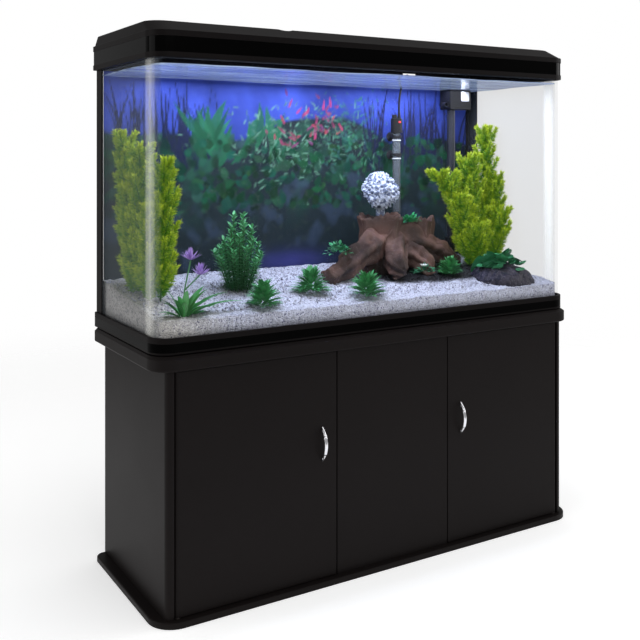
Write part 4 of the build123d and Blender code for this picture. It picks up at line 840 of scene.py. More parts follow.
def printed_scene(x, z):
    """Colours of the printed film: blue water above, dark planting below, leaf strokes over
    it, all from sine noise and seeded strokes."""
    rng = np.random.default_rng(11)
    flat = np.stack([x, 0 * x, z], -1)
    high = np.clip((z - 0.93) / 0.27, 0, 1)
    noise = waves(flat, 24.0, 3, 4)
    deep = np.array([0.012, 0.018, 0.055])
    bright = np.array([0.034, 0.060, 0.36])
    paint = deep + (bright - deep) * (high ** 0.8)[..., None]
    paint = paint * (1 + 0.30 * noise[..., None])

    def lay(mask, colour):
        nonlocal paint
        paint = paint + (np.array(colour) - paint) * mask[..., None]

    # A dark bank of leaves whose top edge rolls up and down.
    edge = 1.035 + 0.035 * waves(flat, 14.0, 5, 3) + 0.05 * np.exp(-((x - 0.06) / 0.22) ** 2)
    bank = np.clip((edge - z) / 0.012, 0, 1)
    lay(bank, (0.012, 0.020, 0.026))
    leafy = np.clip(waves(flat, 46.0, 8, 4) * 1.6 - 0.1, 0, 1)
    depth = np.clip((z - 0.78) / 0.22, 0, 1) * bank
    lay(leafy * depth * 0.8, (0.016, 0.070, 0.046))
    lay(np.clip(waves(flat, 60.0, 9, 3) * 1.5 - 0.5, 0, 1) * bank * 0.5, (0.035, 0.055, 0.10))

    def stroke(share, foot, turn, size, width, colour):
        tip = foot[0] + size * np.cos(turn), foot[1] + size * np.sin(turn)
        lay(share * stroke_mask(x, z, foot, tip, 0.0, width), colour)

    def grass(low, high_x, count, colour, top, seed):
        draw = np.random.default_rng(seed)
        for _ in range(count):
            foot = draw.uniform(low, high_x)
            tall = draw.uniform(0.6, 1.0) * top
            lean = draw.normal(0, 0.030)
            lay(0.95 * stroke_mask(x, z, (foot, 0.95), (foot + lean, 0.95 + tall),
                                   draw.normal(0, 0.012), draw.uniform(0.002, 0.0042)), colour)

    grass(-0.59, -0.30, 46, (0.010, 0.014, 0.040), 0.24, 21)
    grass(0.20, 0.56, 44, (0.012, 0.014, 0.045), 0.26, 22)
    # Broad green blades, left of the middle.
    for _ in range(26):
        foot = rng.uniform(-0.33, -0.05), rng.uniform(0.96, 1.03)
        way = rng.normal(0, 0.055)
        green = rng.uniform(0.5, 1.2)
        lay(0.9 * stroke_mask(x, z, foot, (foot[0] + way, foot[1] + rng.uniform(0.07, 0.14)),
                              rng.normal(0, 0.012), rng.uniform(0.007, 0.015)),
            (0.016 * green, 0.105 * green, 0.055 * green))
    # Round and heart-shaped leaves over the whole bank.
    for _ in range(420):
        foot = rng.uniform(-0.59, 0.56), rng.uniform(0.84, 1.03)
        turn = rng.uniform(0, np.pi)
        size = rng.uniform(0.014, 0.044)
        green = rng.uniform(0.12, 0.85)
        stroke(0.75, foot, turn, size, size * rng.uniform(0.22, 0.42),
               (rng.uniform(0.006, 0.030) * green, 0.095 * green,
                rng.uniform(0.030, 0.075) * green))
    # Feathery pale sprigs and reddish leaves round the middle.
    for _ in range(180):
        foot = rng.normal(-0.05, 0.11), rng.normal(1.03, 0.06)
        turn = rng.uniform(0, np.pi)
        size = rng.uniform(0.008, 0.026)
        pale = rng.uniform(0.3, 1.0)
        stroke(0.7, foot, turn, size, 0.0018, (0.13 * pale, 0.28 * pale, 0.20 * pale))
    for _ in range(46):
        foot = rng.normal(0.01, 0.065), rng.normal(1.085, 0.04)
        turn = rng.uniform(0.2, np.pi - 0.2)
        size = rng.uniform(0.012, 0.034)
        stroke(0.85, foot, turn, size, 0.0030,
               (rng.uniform(0.12, 0.34), 0.030, rng.uniform(0.05, 0.12)))
    # A cloud of fine leaflets right of the middle.
    for _ in range(240):
        foot = rng.normal(0.14, 0.055), rng.normal(1.05, 0.06)
        turn = rng.uniform(0, np.pi)
        size = rng.uniform(0.008, 0.018)
        stroke(0.6, foot, turn, size, 0.0022,
               (0.030, rng.uniform(0.07, 0.16), rng.uniform(0.06, 0.11)))
    # Dim brownish planting low down.
    for _ in range(130):
        foot = rng.uniform(-0.55, 0.35), rng.uniform(0.70, 0.90)
        turn = rng.uniform(0, np.pi)
        size = rng.uniform(0.010, 0.030)
        dim = rng.uniform(0.2, 0.8)
        stroke(0.5, foot, turn, size, 0.0026, (0.05 * dim, 0.075 * dim, 0.065 * dim))
    glow = np.exp(-((x + 0.05) / 0.12) ** 2 - ((z - 0.70) / 0.03) ** 2)
    lay(0.6 * glow, (0.045, 0.045, 0.24))
    return np.clip(paint, 0.002, 1)


class AQUARIUM_OT_background(bpy.types.Operator):
    """The printed film behind the back pane"""
    bl_idname = "aquarium.background"
    bl_label = "Background film"

    def execute(self, context):
        columns, rows = 300, 150
        x, z = np.meshgrid(np.linspace(FILM_LOW.x, FILM_HIGH.x, columns),
                           np.linspace(FILM_LOW.z, FILM_HIGH.z, rows), indexing="ij")
        tint = printed_scene(x, z)
        front = np.stack([x, np.full_like(x, FILM_LOW.y), z], -1)
        back = front[:, ::-1] * [1, 0, 1] + [0, FILM_HIGH.y, 0]
        points = np.concatenate([front, back], 1)
        grey = np.full_like(tint, 0.030) + 0.15 * tint[:, ::-1]
        tints = np.concatenate([tint, grey], 1)
        middle = (FILM_LOW.y + FILM_HIGH.y) / 2
        ends = points[[0, -1]].copy()
        ends[..., 1] = middle
        points = np.concatenate([ends[:1], points, ends[1:]])
        tints = np.concatenate([tints[:1], tints, tints[-1:]])
        made = piece("printed_film", points, grid_faces(columns + 2, 2 * rows, wrap_v=True),
                     finish("print"), tint=tints, smooth=False)
        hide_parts("background_film")
        return {"FINISHED"}


# ------------------------------------------------------------------ gravel, rock and wood

def painted_stump_shadow(x, y):
    """Share of light on the bed: a painted shadow, an oval of darkening under the stump and the
    rock.
    """
    near = np.clip(1 - np.hypot((x - 0.30) / 0.26, (y - 0.02) / 0.10), 0, 1)
    return 1 - 0.93 * np.clip(near * 4, 0, 1)


class AQUARIUM_OT_gravel(bpy.types.Operator):
    """The bed of gravel and the loose grains on it"""
    bl_idname = "aquarium.gravel"
    bl_label = "Gravel"

    def execute(self, context):
        columns, rows = 260, 84
        x, y = tank_plan(columns, rows)
        rough = waves(np.stack([x, y, 0 * x], -1), 95.0, 31, 4)
        fine = np.random.default_rng(32).normal(0, 0.0007, x.shape)
        top = gravel_top(y) + settings().gravel_ripple * 0.45 * rough + fine - 0.001
        over = np.stack([x, y, top], -1)
        under = over[:, ::-1].copy()
        under[..., 2] = GRAVEL_LOW.z
        points = closed_sheet(over, under)
        cool = np.array([0.90, 0.93, 1.0])
        warm = np.array([1.0, 0.97, 0.84])
        side = np.clip((-points[..., 0] - 0.40) / 0.15, 0, 1)[..., None]
        # The bed's tint is darkened by the painted shadow under the stump and the rock.
        tint = (cool + (warm - cool) * side) * painted_stump_shadow(points[..., 0],
                                                          points[..., 1])[..., None]
        bed = piece("gravel_bed", points, grid_faces(columns + 2, 2 * rows, wrap_v=True),
                    finish("pale_gravel"), tint=tint)
        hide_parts("gravel")
        # Loose grains: eight-faced stones stretched and turned at random.
        rng = np.random.default_rng(33)
        count = 5200
        gx = rng.uniform(-0.578, 0.578, count)
        gy = rng.uniform(GRAVEL_LOW.y + 0.034, GRAVEL_HIGH.y - 0.006, count)
        keep = ~((np.abs(gx) > 0.54) & (gy < -0.12))
        gx, gy = gx[keep], gy[keep]
        count = len(gx)
        size = rng.uniform(0.0012, 0.0030, (count, 1, 1))
        stone = np.array([(1, 0, 0), (0, 1, 0), (-1, 0, 0), (0, -1, 0), (0, 0, 1), (0, 0, -1)])
        shape = stone[None] * rng.uniform(0.7, 1.3, (count, 1, 3)) * size
        spin = rng.uniform(0, 2 * np.pi, count)
        c, s = np.cos(spin)[:, None], np.sin(spin)[:, None]
        shape = np.stack([shape[..., 0] * c - shape[..., 1] * s,
                          shape[..., 0] * s + shape[..., 1] * c, shape[..., 2]], -1)
        place = np.stack([gx, gy, gravel_top(gy) + 0.0005], -1)
        points = place[:, None] + shape
        tri = np.array([(0, 1, 4), (1, 2, 4), (2, 3, 4), (3, 0, 4),
                        (1, 0, 5), (2, 1, 5), (3, 2, 5), (0, 3, 5)])
        faces = (tri[None] + 6 * np.arange(count)[:, None, None]).reshape(-1, 3)
        shade = rng.uniform(0.75, 1.15, (count, 1))
        # Loose grains under the stump and the rock take the same painted shadow.
        shade = shade * painted_stump_shadow(gx, gy)[:, None]
        grains = np.repeat((shade * np.array([[0.96, 0.96, 1.0]]))[:, None], 6, 1)
        loose = piece("gravel_grains", points, faces, finish("pale_gravel"),
                      tint=grains, closed=False, smooth=False)
        return {"FINISHED"}


BARK_LIGHT = np.array([0.125, 0.064, 0.050])
BARK_DARK = np.array([0.022, 0.011, 0.009])


def bark_tint(points, seed):
    """Brown that goes lighter and darker in patches of smooth noise, not tied to the ridges and
    furrows of the shape.
    """
    share = np.clip(0.5 + 0.55 * waves(points, 46.0, seed, 4), 0, 1)[..., None]
    return BARK_DARK + (BARK_LIGHT - BARK_DARK) * share


def root_points(path, radii, seed, rows=60, sides=56, furrow=0.005):
    """A root or limb: a tube along a smooth path, its radius ridged lengthways by
    furrow*sin(5*angle + twist) and roughened by noise."""
    path = np.asarray(path, float)
    t = np.linspace(0, 1, len(path))
    s = np.linspace(0, 1, rows)
    fit = min(3, len(path) - 1)
    line = np.stack([np.polyval(np.polyfit(t, path[:, k], fit), s) for k in range(3)], -1)
    radius = np.interp(s, t, radii)
    points, faces = tube_points(line, radius, sides)
    inner = points[1:-1]
    centre = line[:, None]
    away = inner - centre
    reach = np.linalg.norm(away, axis=-1, keepdims=True)
    angle = np.linspace(0, 2 * np.pi, sides, endpoint=False)[None, :, None]
    twist = 3.0 * s[:, None, None] + seed
    ridge = furrow * np.sin(5 * angle + twist) * np.clip(reach / 0.03, 0.2, 1)
    rough = 1.2 * furrow * waves(inner, 70.0, seed, 5)[..., None]
    points[1:-1] = centre + away * (1 + (ridge + rough) / reach)
    return points, faces


def trunk_points(centre, foot_z, rim_z, radius, hollow_r, hollow_z, seed, lean=(0.0, 0.0)):
    """A hollow broken trunk: a profile up the outside, over a ragged rim and down the inside,
    turned about the middle and ridged by sines of the angle."""
    sides = 140
    angle = np.linspace(0, 2 * np.pi, sides, endpoint=False)[None, :]
    share = np.array([0, 0.08, 0.2, 0.35, 0.5, 0.65, 0.78, 0.88, 0.95, 1.0])
    outer_r = radius * (1.0 + 0.30 * (1 - share) ** 2.2)
    outer_z = foot_z + (rim_z - foot_z) * share
    outer_r[-3:] += 0.05 * radius
    inner_r = np.array([0.93 * radius, hollow_r, hollow_r * 0.9, hollow_r * 0.6, 0.0])
    inner_z = np.array([rim_z + 0.001, rim_z - 0.010, (rim_z + hollow_z) / 2,
                        hollow_z + 0.004, hollow_z])
    r = np.concatenate([[0.0], outer_r, inner_r])[:, None]
    z = np.concatenate([[foot_z], outer_z, inner_z])[:, None]
    fold = 0.09 * np.sin(4 * angle + seed) + 0.05 * np.sin(9 * angle + 2 * seed + 8 * z)
    r = r * (1 + fold)
    climb = np.clip((z - foot_z) / (rim_z - foot_z), 0, 1)
    ragged = (0.006 * np.sin(3 * angle + seed) + 0.002 * np.sin(13 * angle)
              + 0.002 * np.sin(23 * angle + 1)) * climb ** 6
    points = np.stack([centre[0] + lean[0] * climb + r * np.cos(angle),
                       centre[1] + lean[1] * climb + r * np.sin(angle),
                       z + ragged], -1)
    away = points - np.array([centre[0], centre[1], 0])
    away[..., 2] = 0
    points += away * (0.10 * waves(points, 60.0, seed + 5, 5))[..., None]
    return points, grid_faces(points.shape[0], sides, wrap_v=True)


class AQUARIUM_OT_stump(bpy.types.Operator):
    """The hollow moulded stump with its roots, and the small plants on it"""
    bl_idname = "aquarium.stump"
    bl_label = "Stump"

    def execute(self, context):
        cx, cy = 0.1781, 0.1021
        foot = 0.655
        parts = [
            trunk_points((cx, cy), foot, 0.824, 0.058, 0.042, 0.772, 1.0),
            trunk_points((cx + 0.132, cy - 0.002), foot, 0.812, 0.034, 0.020, 0.785, 2.3,
                         (0.010, 0.0)),
            root_points([(cx - 0.02, cy - 0.02, 0.745), (cx - 0.09, cy - 0.055, 0.735),
                         (cx - 0.16, cy - 0.080, 0.705), (cx - 0.232, cy - 0.096, 0.676)],
                        [0.044, 0.034, 0.030, 0.019], 3),
            root_points([(cx, cy - 0.02, 0.750), (cx + 0.006, cy - 0.06, 0.725),
                         (cx - 0.020, cy - 0.105, 0.700), (cx - 0.030, cy - 0.135, 0.668)],
                        [0.044, 0.036, 0.028, 0.020], 4),
            root_points([(cx + 0.02, cy, 0.765), (cx + 0.09, cy - 0.012, 0.752),
                         (cx + 0.17, cy - 0.020, 0.722), (cx + 0.245, cy - 0.040, 0.676)],
                        [0.044, 0.042, 0.034, 0.020], 5),
            root_points([(cx + 0.05, cy - 0.01, 0.745), (cx + 0.075, cy - 0.06, 0.715),
                         (cx + 0.090, cy - 0.085, 0.690), (cx + 0.10, cy - 0.100, 0.662)],
                        [0.036, 0.028, 0.024, 0.016], 6),
        ]
        points, faces = joined(parts)
        made = piece("hollow_stump", points, faces, finish("bark"),
                     tint=bark_tint(points, 7))
        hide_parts("stump")
        rng = np.random.default_rng(41)
        sprays = [((cx - 0.185, cy - 0.075), 0.735, 0.045, 60, (0.030, 0.20, 0.085)),
                  ((cx + 0.075, cy - 0.040), 0.803, 0.032, 70, (0.030, 0.26, 0.10)),
                  ((cx + 0.055, cy - 0.130), 0.675, 0.035, 36, (0.025, 0.15, 0.075)),
                  ((cx + 0.165, cy - 0.110), 0.668, 0.030, 30, (0.035, 0.16, 0.11))]
        parts, tints = [], []
        for (px, py), pz, spread, count, green in sprays:
            ball = rng.normal(size=(count, 3))
            ball = unit(ball)
            ball[:, 2] = np.abs(ball[:, 2]) * 0.8
            base = np.array([px, py, pz]) + ball * spread * rng.uniform(0.2, 0.8, (count, 1))
            p, f = blade_points(base, ball * 0.8 + [0, 0, 0.3], [[0, 0, -0.35]] * count,
                                rng.uniform(0.014, 0.024, count),
                                rng.uniform(0.004, 0.007, count), rows=5)
            parts.append((p, f))
            tints.append(np.repeat(np.array([green]) * rng.uniform(0.5, 1.3, (count, 1)),
                                   15, 0))
        points, faces = joined(parts)
        ivy = piece("stump_leaves", points, faces, finish("leaf"),
                    tint=np.concatenate(tints), closed=False)
        count = 12
        turn = np.linspace(0, 2 * np.pi, count, endpoint=False)
        way = np.stack([np.cos(turn), np.sin(turn), 0.7 + 0 * turn], -1)
        p, f = blade_points([[cx + 0.045, cy - 0.140, 0.690]] * count, way * 0.8,
                            [[0, 0, 0.2]] * count, [0.014] * count, [0.004] * count, rows=5)
        white = piece("white_flower", p, f, finish("petal"),
                      tint=np.full((len(p), 3), 0.75), closed=False)
        return {"FINISHED"}


class AQUARIUM_OT_rock(bpy.types.Operator):
    """The dark rock mound with its round leaves"""
    bl_idname = "aquarium.rock"
    bl_label = "Rock mound"

    def execute(self, context):
        low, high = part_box("rock_mound")
        centre = ((low + high) / 2).xy
        rx, ry = (high.x - low.x) / 2, (high.y - low.y) / 2
        rise = np.linspace(0, np.pi / 2, 26)[:, None]
        angle = np.linspace(0, 2 * np.pi, 72, endpoint=False)[None, :]
        base = low.z + 0.002
        dome = np.stack([centre.x + rx * np.cos(rise) * np.cos(angle),
                         centre.y + ry * np.cos(rise) * np.sin(angle),
                         base + (high.z - 0.006 - base) * np.sin(rise) ** 0.8 + 0 * angle], -1)
        lumps = 1 + 0.09 * waves(dome, 55.0, 51, 4)[..., None]
        middle = np.array([centre.x, centre.y, base])
        dome = middle + (dome - middle) * np.clip(lumps, 0.85, 1.12)
        dome[..., 2] = np.maximum(dome[..., 2], base)
        foot = dome[:1].copy()
        foot[..., :2] = centre
        points = np.concatenate([foot, dome])
        made = piece("dark_mound", points, grid_faces(27, 72, wrap_v=True),
                     finish("dark_rock"))
        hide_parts("rock_mound")
        rng = np.random.default_rng(52)
        count = 54
        turn = rng.uniform(0, 2 * np.pi, count)
        reach = np.sqrt(rng.uniform(0, 1, count))
        bx = centre.x + 0.8 * rx * reach * np.cos(turn)
        by = centre.y + 0.8 * ry * reach * np.sin(turn)
        bz = base + (high.z - base) * np.sqrt(1 - 0.6 * reach ** 2) + rng.uniform(
            0.0, 0.016, count)
        # Round leaves: a shallow cup, radius going from nothing to full over six rings.
        s = np.linspace(0, 1, 6)[None, :, None]
        a = np.linspace(0, 2 * np.pi, 16, endpoint=False)[None, None, :]
        size = rng.uniform(0.010, 0.021, count)[:, None, None]
        tip_x = rng.normal(0, 0.35, count)[:, None, None]
        tip_y = rng.normal(-0.3, 0.35, count)[:, None, None]
        lx, ly = size * s * np.cos(a), size * s * np.sin(a)
        lz = lx * tip_x + ly * tip_y + size * (0.25 * s ** 2 + 0.04 * np.sin(5 * a) * s)
        points = np.stack([bx[:, None, None] + lx, by[:, None, None] + ly,
                           bz[:, None, None] + lz], -1)
        one = grid_faces(6, 16, wrap_v=True)
        faces = (one[None] + 96 * np.arange(count)[:, None, None]).reshape(-1, 4)
        green = np.array([[0.035, 0.19, 0.085]]) * rng.uniform(0.45, 1.35, (count, 1))
        leaves = piece("round_leaves", points, faces, finish("leaf"),
                       tint=np.repeat(green, 96, 0), closed=False)
        return {"FINISHED"}


class AQUARIUM_OT_coral(bpy.types.Operator):
    """The white coral ball on its stem"""
    bl_idname = "aquarium.coral"
    bl_label = "Coral ball"

    def execute(self, context):
        low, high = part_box("coral_ball")
        radius = (high.x - low.x) / 2
        cx, cy = (low.x + high.x) / 2, (low.y + high.y) / 2
        cz = high.z - radius
        lat = np.linspace(-np.pi / 2, np.pi / 2, 110)[:, None]
        lon = np.linspace(0, 2 * np.pi, 200, endpoint=False)[None, :]
        way = np.stack([np.cos(lat) * np.cos(lon), np.cos(lat) * np.sin(lon),
                        np.sin(lat) + 0 * lon], -1)
        # Knobs: seeded bumps, each a cap that falls off with the angle from its own way.
        rng = np.random.default_rng(61)
        knobs = rng.normal(size=(330, 3))
        knobs = unit(knobs)
        near = (way.reshape(-1, 3) @ knobs.T).max(1).reshape(way.shape[:2])
        bump_ = np.exp(-((1 - near) / 0.0035))
        r = radius * (0.80 + 0.19 * bump_ + 0.12 * waves(way, 4.0, 62, 3))
        ball = np.array([cx, cy, cz]) + np.minimum(r, radius * 1.02)[..., None] * way
        stem = turned_points((cx, cy), [(0, low.z), (0.014, low.z), (0.012, cz - 0.03),
                                        (0, cz - 0.03)], 24)
        points, faces = joined([(ball, grid_faces(110, 200, wrap_v=True)), stem])
        made = piece("coral_head", points, faces, finish("white_coral"))
        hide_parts("coral_ball")
        return {"FINISHED"}


# ------------------------------------------------------------------ plants

def side_spikes(plumes, seed):
    """Each plume's stem with spikes off it: they leave at the golden angle, lean upwards and
    get shorter towards the top, inside the plume's radius."""
    rng = np.random.default_rng(seed + 5)
    stems = []
    for foot, top, bow, radius, count in plumes:
        foot, top, bow = (np.asarray(v, float) for v in (foot, top, bow))
        tall = np.linalg.norm(top - foot)
        stems.append((foot, top, bow, 0.020, tall / 0.11))
        for k in range(count):
            t = 0.04 + 0.90 * (k + 0.5) / count
            turn = GOLDEN_TURN * k + rng.uniform(-0.3, 0.3)
            start = foot + t * (top - foot) + np.sin(np.pi * t) * bow
            reach = radius * (1 - 0.35 * t ** 2) * rng.uniform(0.8, 1.0)
            end = start + [reach * np.cos(turn), reach * np.sin(turn),
                           0.050 * rng.uniform(0.8, 1.3)]
            end[2] = min(end[2], top[2])
            end = np.clip(end, np.array(IN_LOW) + 0.020, np.array(IN_HIGH) - 0.020)
            stems.append((start, end, np.array([0, 0, -0.006]), 0.0165, 0.62))
    return stems


def fern_points(stems, count, seed):
    """A feathery plant. Each stem is (foot, top, bow, radius, fullness); needles start along
    it, point outwards and up, and are longest a third of the way up."""
    rng = np.random.default_rng(seed)
    needles, tints, cores = [], [], []
    length = settings().needle_length
    for foot, top, bow, radius, full in stems:
        many = int(count * full)
        t = rng.uniform(0.02, 1.0, many)
        foot, top, bow = (np.asarray(v, float) for v in (foot, top, bow))
        line = foot + t[:, None] * (top - foot) + np.sin(np.pi * t)[:, None] * bow
        axis = (top - foot) / np.linalg.norm(top - foot)
        out = rng.normal(size=(many, 3))
        out -= (out @ axis)[:, None] * axis
        out = unit(out)
        profile = np.clip(1.25 * (1 - t ** 2.2), 0.25, 1) * np.clip(t / 0.1 + 0.4, 0, 1)
        puff = 0.82 + 0.18 * np.sin(t * np.linalg.norm(top - foot) / 0.026 * 2 * np.pi)
        start = rng.uniform(0.0, 1.0, many) ** 0.7 * np.maximum(radius * profile * puff
                                                                - 0.6 * length, 0)
        lean = 0.55 + 0.9 * t ** 3
        way = out + lean[:, None] * axis + rng.normal(0, 0.18, (many, 3))
        way = unit(way)
        base = line + out * start[:, None]
        size = length * rng.uniform(0.6, 1.1, many)
        needles.append(needle_points(base, way, size, 0.0011 + 0 * size, rng))
        outer = np.clip(start / max(radius - 0.6 * length, 1e-4), 0, 1)[:, None]
        glow = np.clip(0.85 * (0.35 * outer + 0.65 * t[:, None] ** 1.6)
                       + rng.normal(0, 0.12, (many, 1)), 0, 1)
        low_green, tip = np.array([0.030, 0.190, 0.014]), np.array([0.92, 0.95, 0.040])
        root = low_green + (tip - low_green) * glow * 0.22
        end = low_green + (tip - low_green) * glow
        tints.append(np.stack([root, (root + end) / 2, end, (root + end) / 2], 1))
        s = np.linspace(0, 0.97, 12)[:, None]
        core = foot + s * (top - foot) + np.sin(np.pi * s) * bow
        cores.append(tube_points(core, np.linspace(0.0022, 0.0008, 12), 5))
    points, faces = joined(needles)
    points = np.clip(points, np.array(IN_LOW) + 0.002, np.array(IN_HIGH) - 0.002)
    return (points, faces, np.concatenate(tints)), joined(cores)


class AQUARIUM_OT_ferns(bpy.types.Operator):
    """The two tall feathery plants"""
    bl_idname = "aquarium.ferns"
    bl_label = "Ferns"

    def execute(self, context):
        left = [((-0.522, -0.020, 0.66), (-0.522, -0.036, 0.985), (0.004, 0, 0), 0.040, 32),
                ((-0.530, 0.040, 0.66), (-0.540, 0.062, 1.020), (-0.006, 0, 0), 0.044, 32),
                ((-0.535, 0.115, 0.66), (-0.552, 0.150, 1.050), (-0.004, 0.004, 0), 0.044, 36),
                ((-0.545, -0.010, 0.66), (-0.555, -0.040, 0.880), (-0.004, 0, 0), 0.038, 22),
                ((-0.548, 0.075, 0.66), (-0.562, 0.105, 0.920), (-0.004, 0, 0), 0.040, 24)]
        right = [((0.528, 0.082, 0.67), (0.556, 0.085, 1.078), (0.004, 0, 0), 0.048, 36),
                 ((0.500, 0.070, 0.67), (0.476, 0.070, 0.995), (-0.010, 0, 0), 0.052, 30),
                 ((0.480, 0.076, 0.67), (0.345, 0.076, 0.948), (0.018, 0, 0.02), 0.048, 32),
                 ((0.545, 0.070, 0.67), (0.566, 0.060, 0.940), (0.006, -0.01, 0), 0.042, 26),
                 ((0.530, 0.040, 0.67), (0.552, 0.020, 0.840), (0.004, -0.01, 0), 0.044, 20),
                 ((0.485, 0.040, 0.67), (0.445, 0.012, 0.800), (-0.01, -0.01, 0), 0.046, 20),
                 ((0.470, 0.060, 0.67), (0.405, 0.050, 0.880), (-0.004, -0.01, 0), 0.046, 24)]
        for name, stems, cad, seed in (("fern_left_needles", left, "fern_left", 71),
                                       ("fern_right_needles", right, "fern_right", 72)):
            needles, core = fern_points(side_spikes(stems, seed), 620, seed)
            made = piece(name, needles[0], needles[1], finish("fern_leaf"),
                         tint=needles[2], closed=False)
            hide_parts(cad)
            stalk = piece(name.replace("needles", "stalks"), *core, finish("leaf"),
                          tint=np.tile([0.05, 0.15, 0.03], (len(core[0]), 1)))
        return {"FINISHED"}


class AQUARIUM_OT_low_plants(bpy.types.Operator):
    """The flowering plant, the bush and the leaf clumps in front"""
    bl_idname = "aquarium.low_plants"
    bl_label = "Low plants"

    def execute(self, context):
        rng = np.random.default_rng(81)
        fx, fy = -0.5202, -0.1479
        # Strap leaves of the flowering plant, then its stems and flower heads.
        count = 22
        turn = np.linspace(-0.35, 2 * np.pi - 0.6, count) + rng.normal(0, 0.1, count)
        lean = rng.uniform(0.25, 0.85, count)
        way = np.stack([np.cos(turn) * lean, np.sin(turn) * lean * 0.35, 0.9 - 0.5 * lean], -1)
        reach = rng.uniform(0.085, 0.150, count)
        base = np.array([fx, fy, 0.640]) + np.stack([np.cos(turn), np.sin(turn), 0 * turn],
                                                    -1) * 0.006
        side = [(0.95, 0.10, 0.42), (0.80, 0.16, 0.60), (0.95, 0.30, 0.25), (0.6, 0.4, 0.8)]
        way = np.concatenate([way, side])
        reach = np.concatenate([reach, [0.175, 0.150, 0.130, 0.120]])
        base = np.concatenate([base, [[fx, fy, 0.640]] * 4])
        # No leaf is longer than the room between its foot and the left pane.
        toward = np.maximum(-way[:, 0] / np.linalg.norm(way, axis=1), 1e-3)
        reach = np.minimum(reach, (fx - IN_LOW.x - 0.010) / toward)
        drop = np.tile([0, 0, -0.30], (len(way), 1))
        straps = blade_points(base, way, drop, reach, np.full(len(way), 0.0085), rows=9)
        many = len(way)
        shade = np.repeat(rng.uniform(0.55, 1.25, (many, 1)), 27, 0)
        tint = shade * np.array([[0.060, 0.280, 0.075]])
        tops = (fx + 0.022, fy + 0.010, 0.766), (fx + 0.044, fy + 0.008, 0.732)
        stems = [tube_points([(fx, fy, 0.642), (fx + 0.004, fy + 0.003, 0.700), top],
                             [0.0016] * 3, 8) for top in tops]
        points, faces = joined([straps, *stems])
        extra = len(points) - len(tint)
        tint = np.concatenate([tint, np.tile([0.05, 0.20, 0.06], (extra, 1))])
        made = piece("flowering_plant", points, faces, finish("leaf"), tint=tint,
                     closed=False)
        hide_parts("flower_plant")
        heads, shades = [], []
        for top in tops:
            count = 46
            ring = rng.uniform(0, 2 * np.pi, count)
            open_ = rng.uniform(0.1, 1.0, count)
            way = np.stack([np.cos(ring) * open_, np.sin(ring) * open_, 1.1 - open_ * 0.8], -1)
            way = unit(way)
            p, f = blade_points([(*top[:2], top[2] - 0.002)] * count, way, [[0, 0, 0.12]] * count,
                                rng.uniform(0.021, 0.028, count), [0.0030] * count, rows=5)
            heads.append((p, f))
            pale = np.tile(np.linspace(0, 1, 5)[None, :, None, None], (count, 1, 3, 1))
            colour = (np.array([0.10, 0.02, 0.26]) * (1 - pale)
                      + np.array([0.46, 0.32, 0.74]) * pale)
            shades.append(colour.reshape(-1, 3))
        points, faces = joined(heads)
        heads = piece("purple_flowers", points, faces, finish("petal"),
                      tint=np.concatenate(shades), closed=False)

        # Bush: short leaves in pairs up a dozen upright stems.
        bx, by = -0.2999, 0.0211
        stems, leaves, shades = [], [], []
        for k in range(26):
            a = k * GOLDEN_TURN
            r = 0.066 * np.sqrt((k + 0.5) / 26)
            foot = np.array([bx + 0.4 * r * np.cos(a), by + 0.4 * r * np.sin(a), 0.66])
            top = np.array([bx + r * np.cos(a), by + r * np.sin(a),
                            0.862 - 2.1 * max(r - 0.012, 0) - rng.uniform(0, 0.02)])
            stems.append(tube_points([foot, (foot + top) / 2, top], [0.0014] * 3, 6))
            count = 58
            t = np.linspace(0.06, 1.0, count)
            turn = np.arange(count) * GOLDEN_TURN + a
            up = 0.35 + 0.9 * t ** 4
            way = np.stack([np.cos(turn), np.sin(turn), up], -1)
            way = unit(way)
            p, f = blade_points(foot + t[:, None] * (top - foot), way, [[0, 0, -0.2]] * count,
                                rng.uniform(0.016, 0.024, count),
                                rng.uniform(0.0036, 0.0052, count), rows=4)
            leaves.append((p, f))
            # Leaves are darker low on each stem and lighter at its top: painted shade inside the
            # bush, painted light on top.
            glow = (0.45 + 0.75 * t)[:, None] * rng.uniform(0.7, 1.2, (count, 1))
            shades.append(np.repeat(glow * np.array([[0.060, 0.250, 0.100]]), 12, 0))
        points, faces = joined([*leaves, *stems])
        tint = np.concatenate(shades)
        tint = np.concatenate([tint, np.tile([0.03, 0.08, 0.03], (len(points) - len(tint), 1))])
        made = piece("leafy_bush", points, faces, finish("leaf"), tint=tint, closed=False)
        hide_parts("bush_plant")

        # Clumps: rosettes of pointed leaves that arch outwards.
        rosettes, shades = [], []
        for x, y, r, tall in ((-0.3162, -0.1340, 0.038, 0.050), (-0.1411, -0.0549, 0.040, 0.046),
                              (-0.0269, -0.1319, 0.042, 0.044), (0.3299, -0.0200, 0.032, 0.042)):
            count = 130
            turn = rng.uniform(0, 2 * np.pi, count)
            t = rng.uniform(0, 1, count)
            z = float(gravel_top(y))
            base = np.stack([x + 0.35 * r * t * np.cos(turn), y + 0.35 * r * t * np.sin(turn),
                             z + tall * 0.75 * (1 - t) + 0 * turn], -1)
            open_ = 0.35 + 0.8 * t
            way = np.stack([np.cos(turn) * open_, np.sin(turn) * open_, 1.15 - 0.6 * open_], -1)
            way = unit(way)
            p, f = blade_points(base, way, [[0, 0, -0.28]] * count,
                                rng.uniform(0.95, 1.35, count) * r,
                                rng.uniform(0.0045, 0.0068, count), rows=5)
            rosettes.append((p, f))
            glow = rng.uniform(0.55, 1.35, (count, 1))
            shades.append(np.repeat(glow * np.array([[0.055, 0.260, 0.090]]), 15, 0))
        points, faces = joined(rosettes)
        made = piece("leaf_rosettes", points, faces, finish("leaf"),
                     tint=np.concatenate(shades), closed=False)
        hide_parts("leaf_clumps")
        return {"FINISHED"}


# ------------------------------------------------------------------ water and equipment

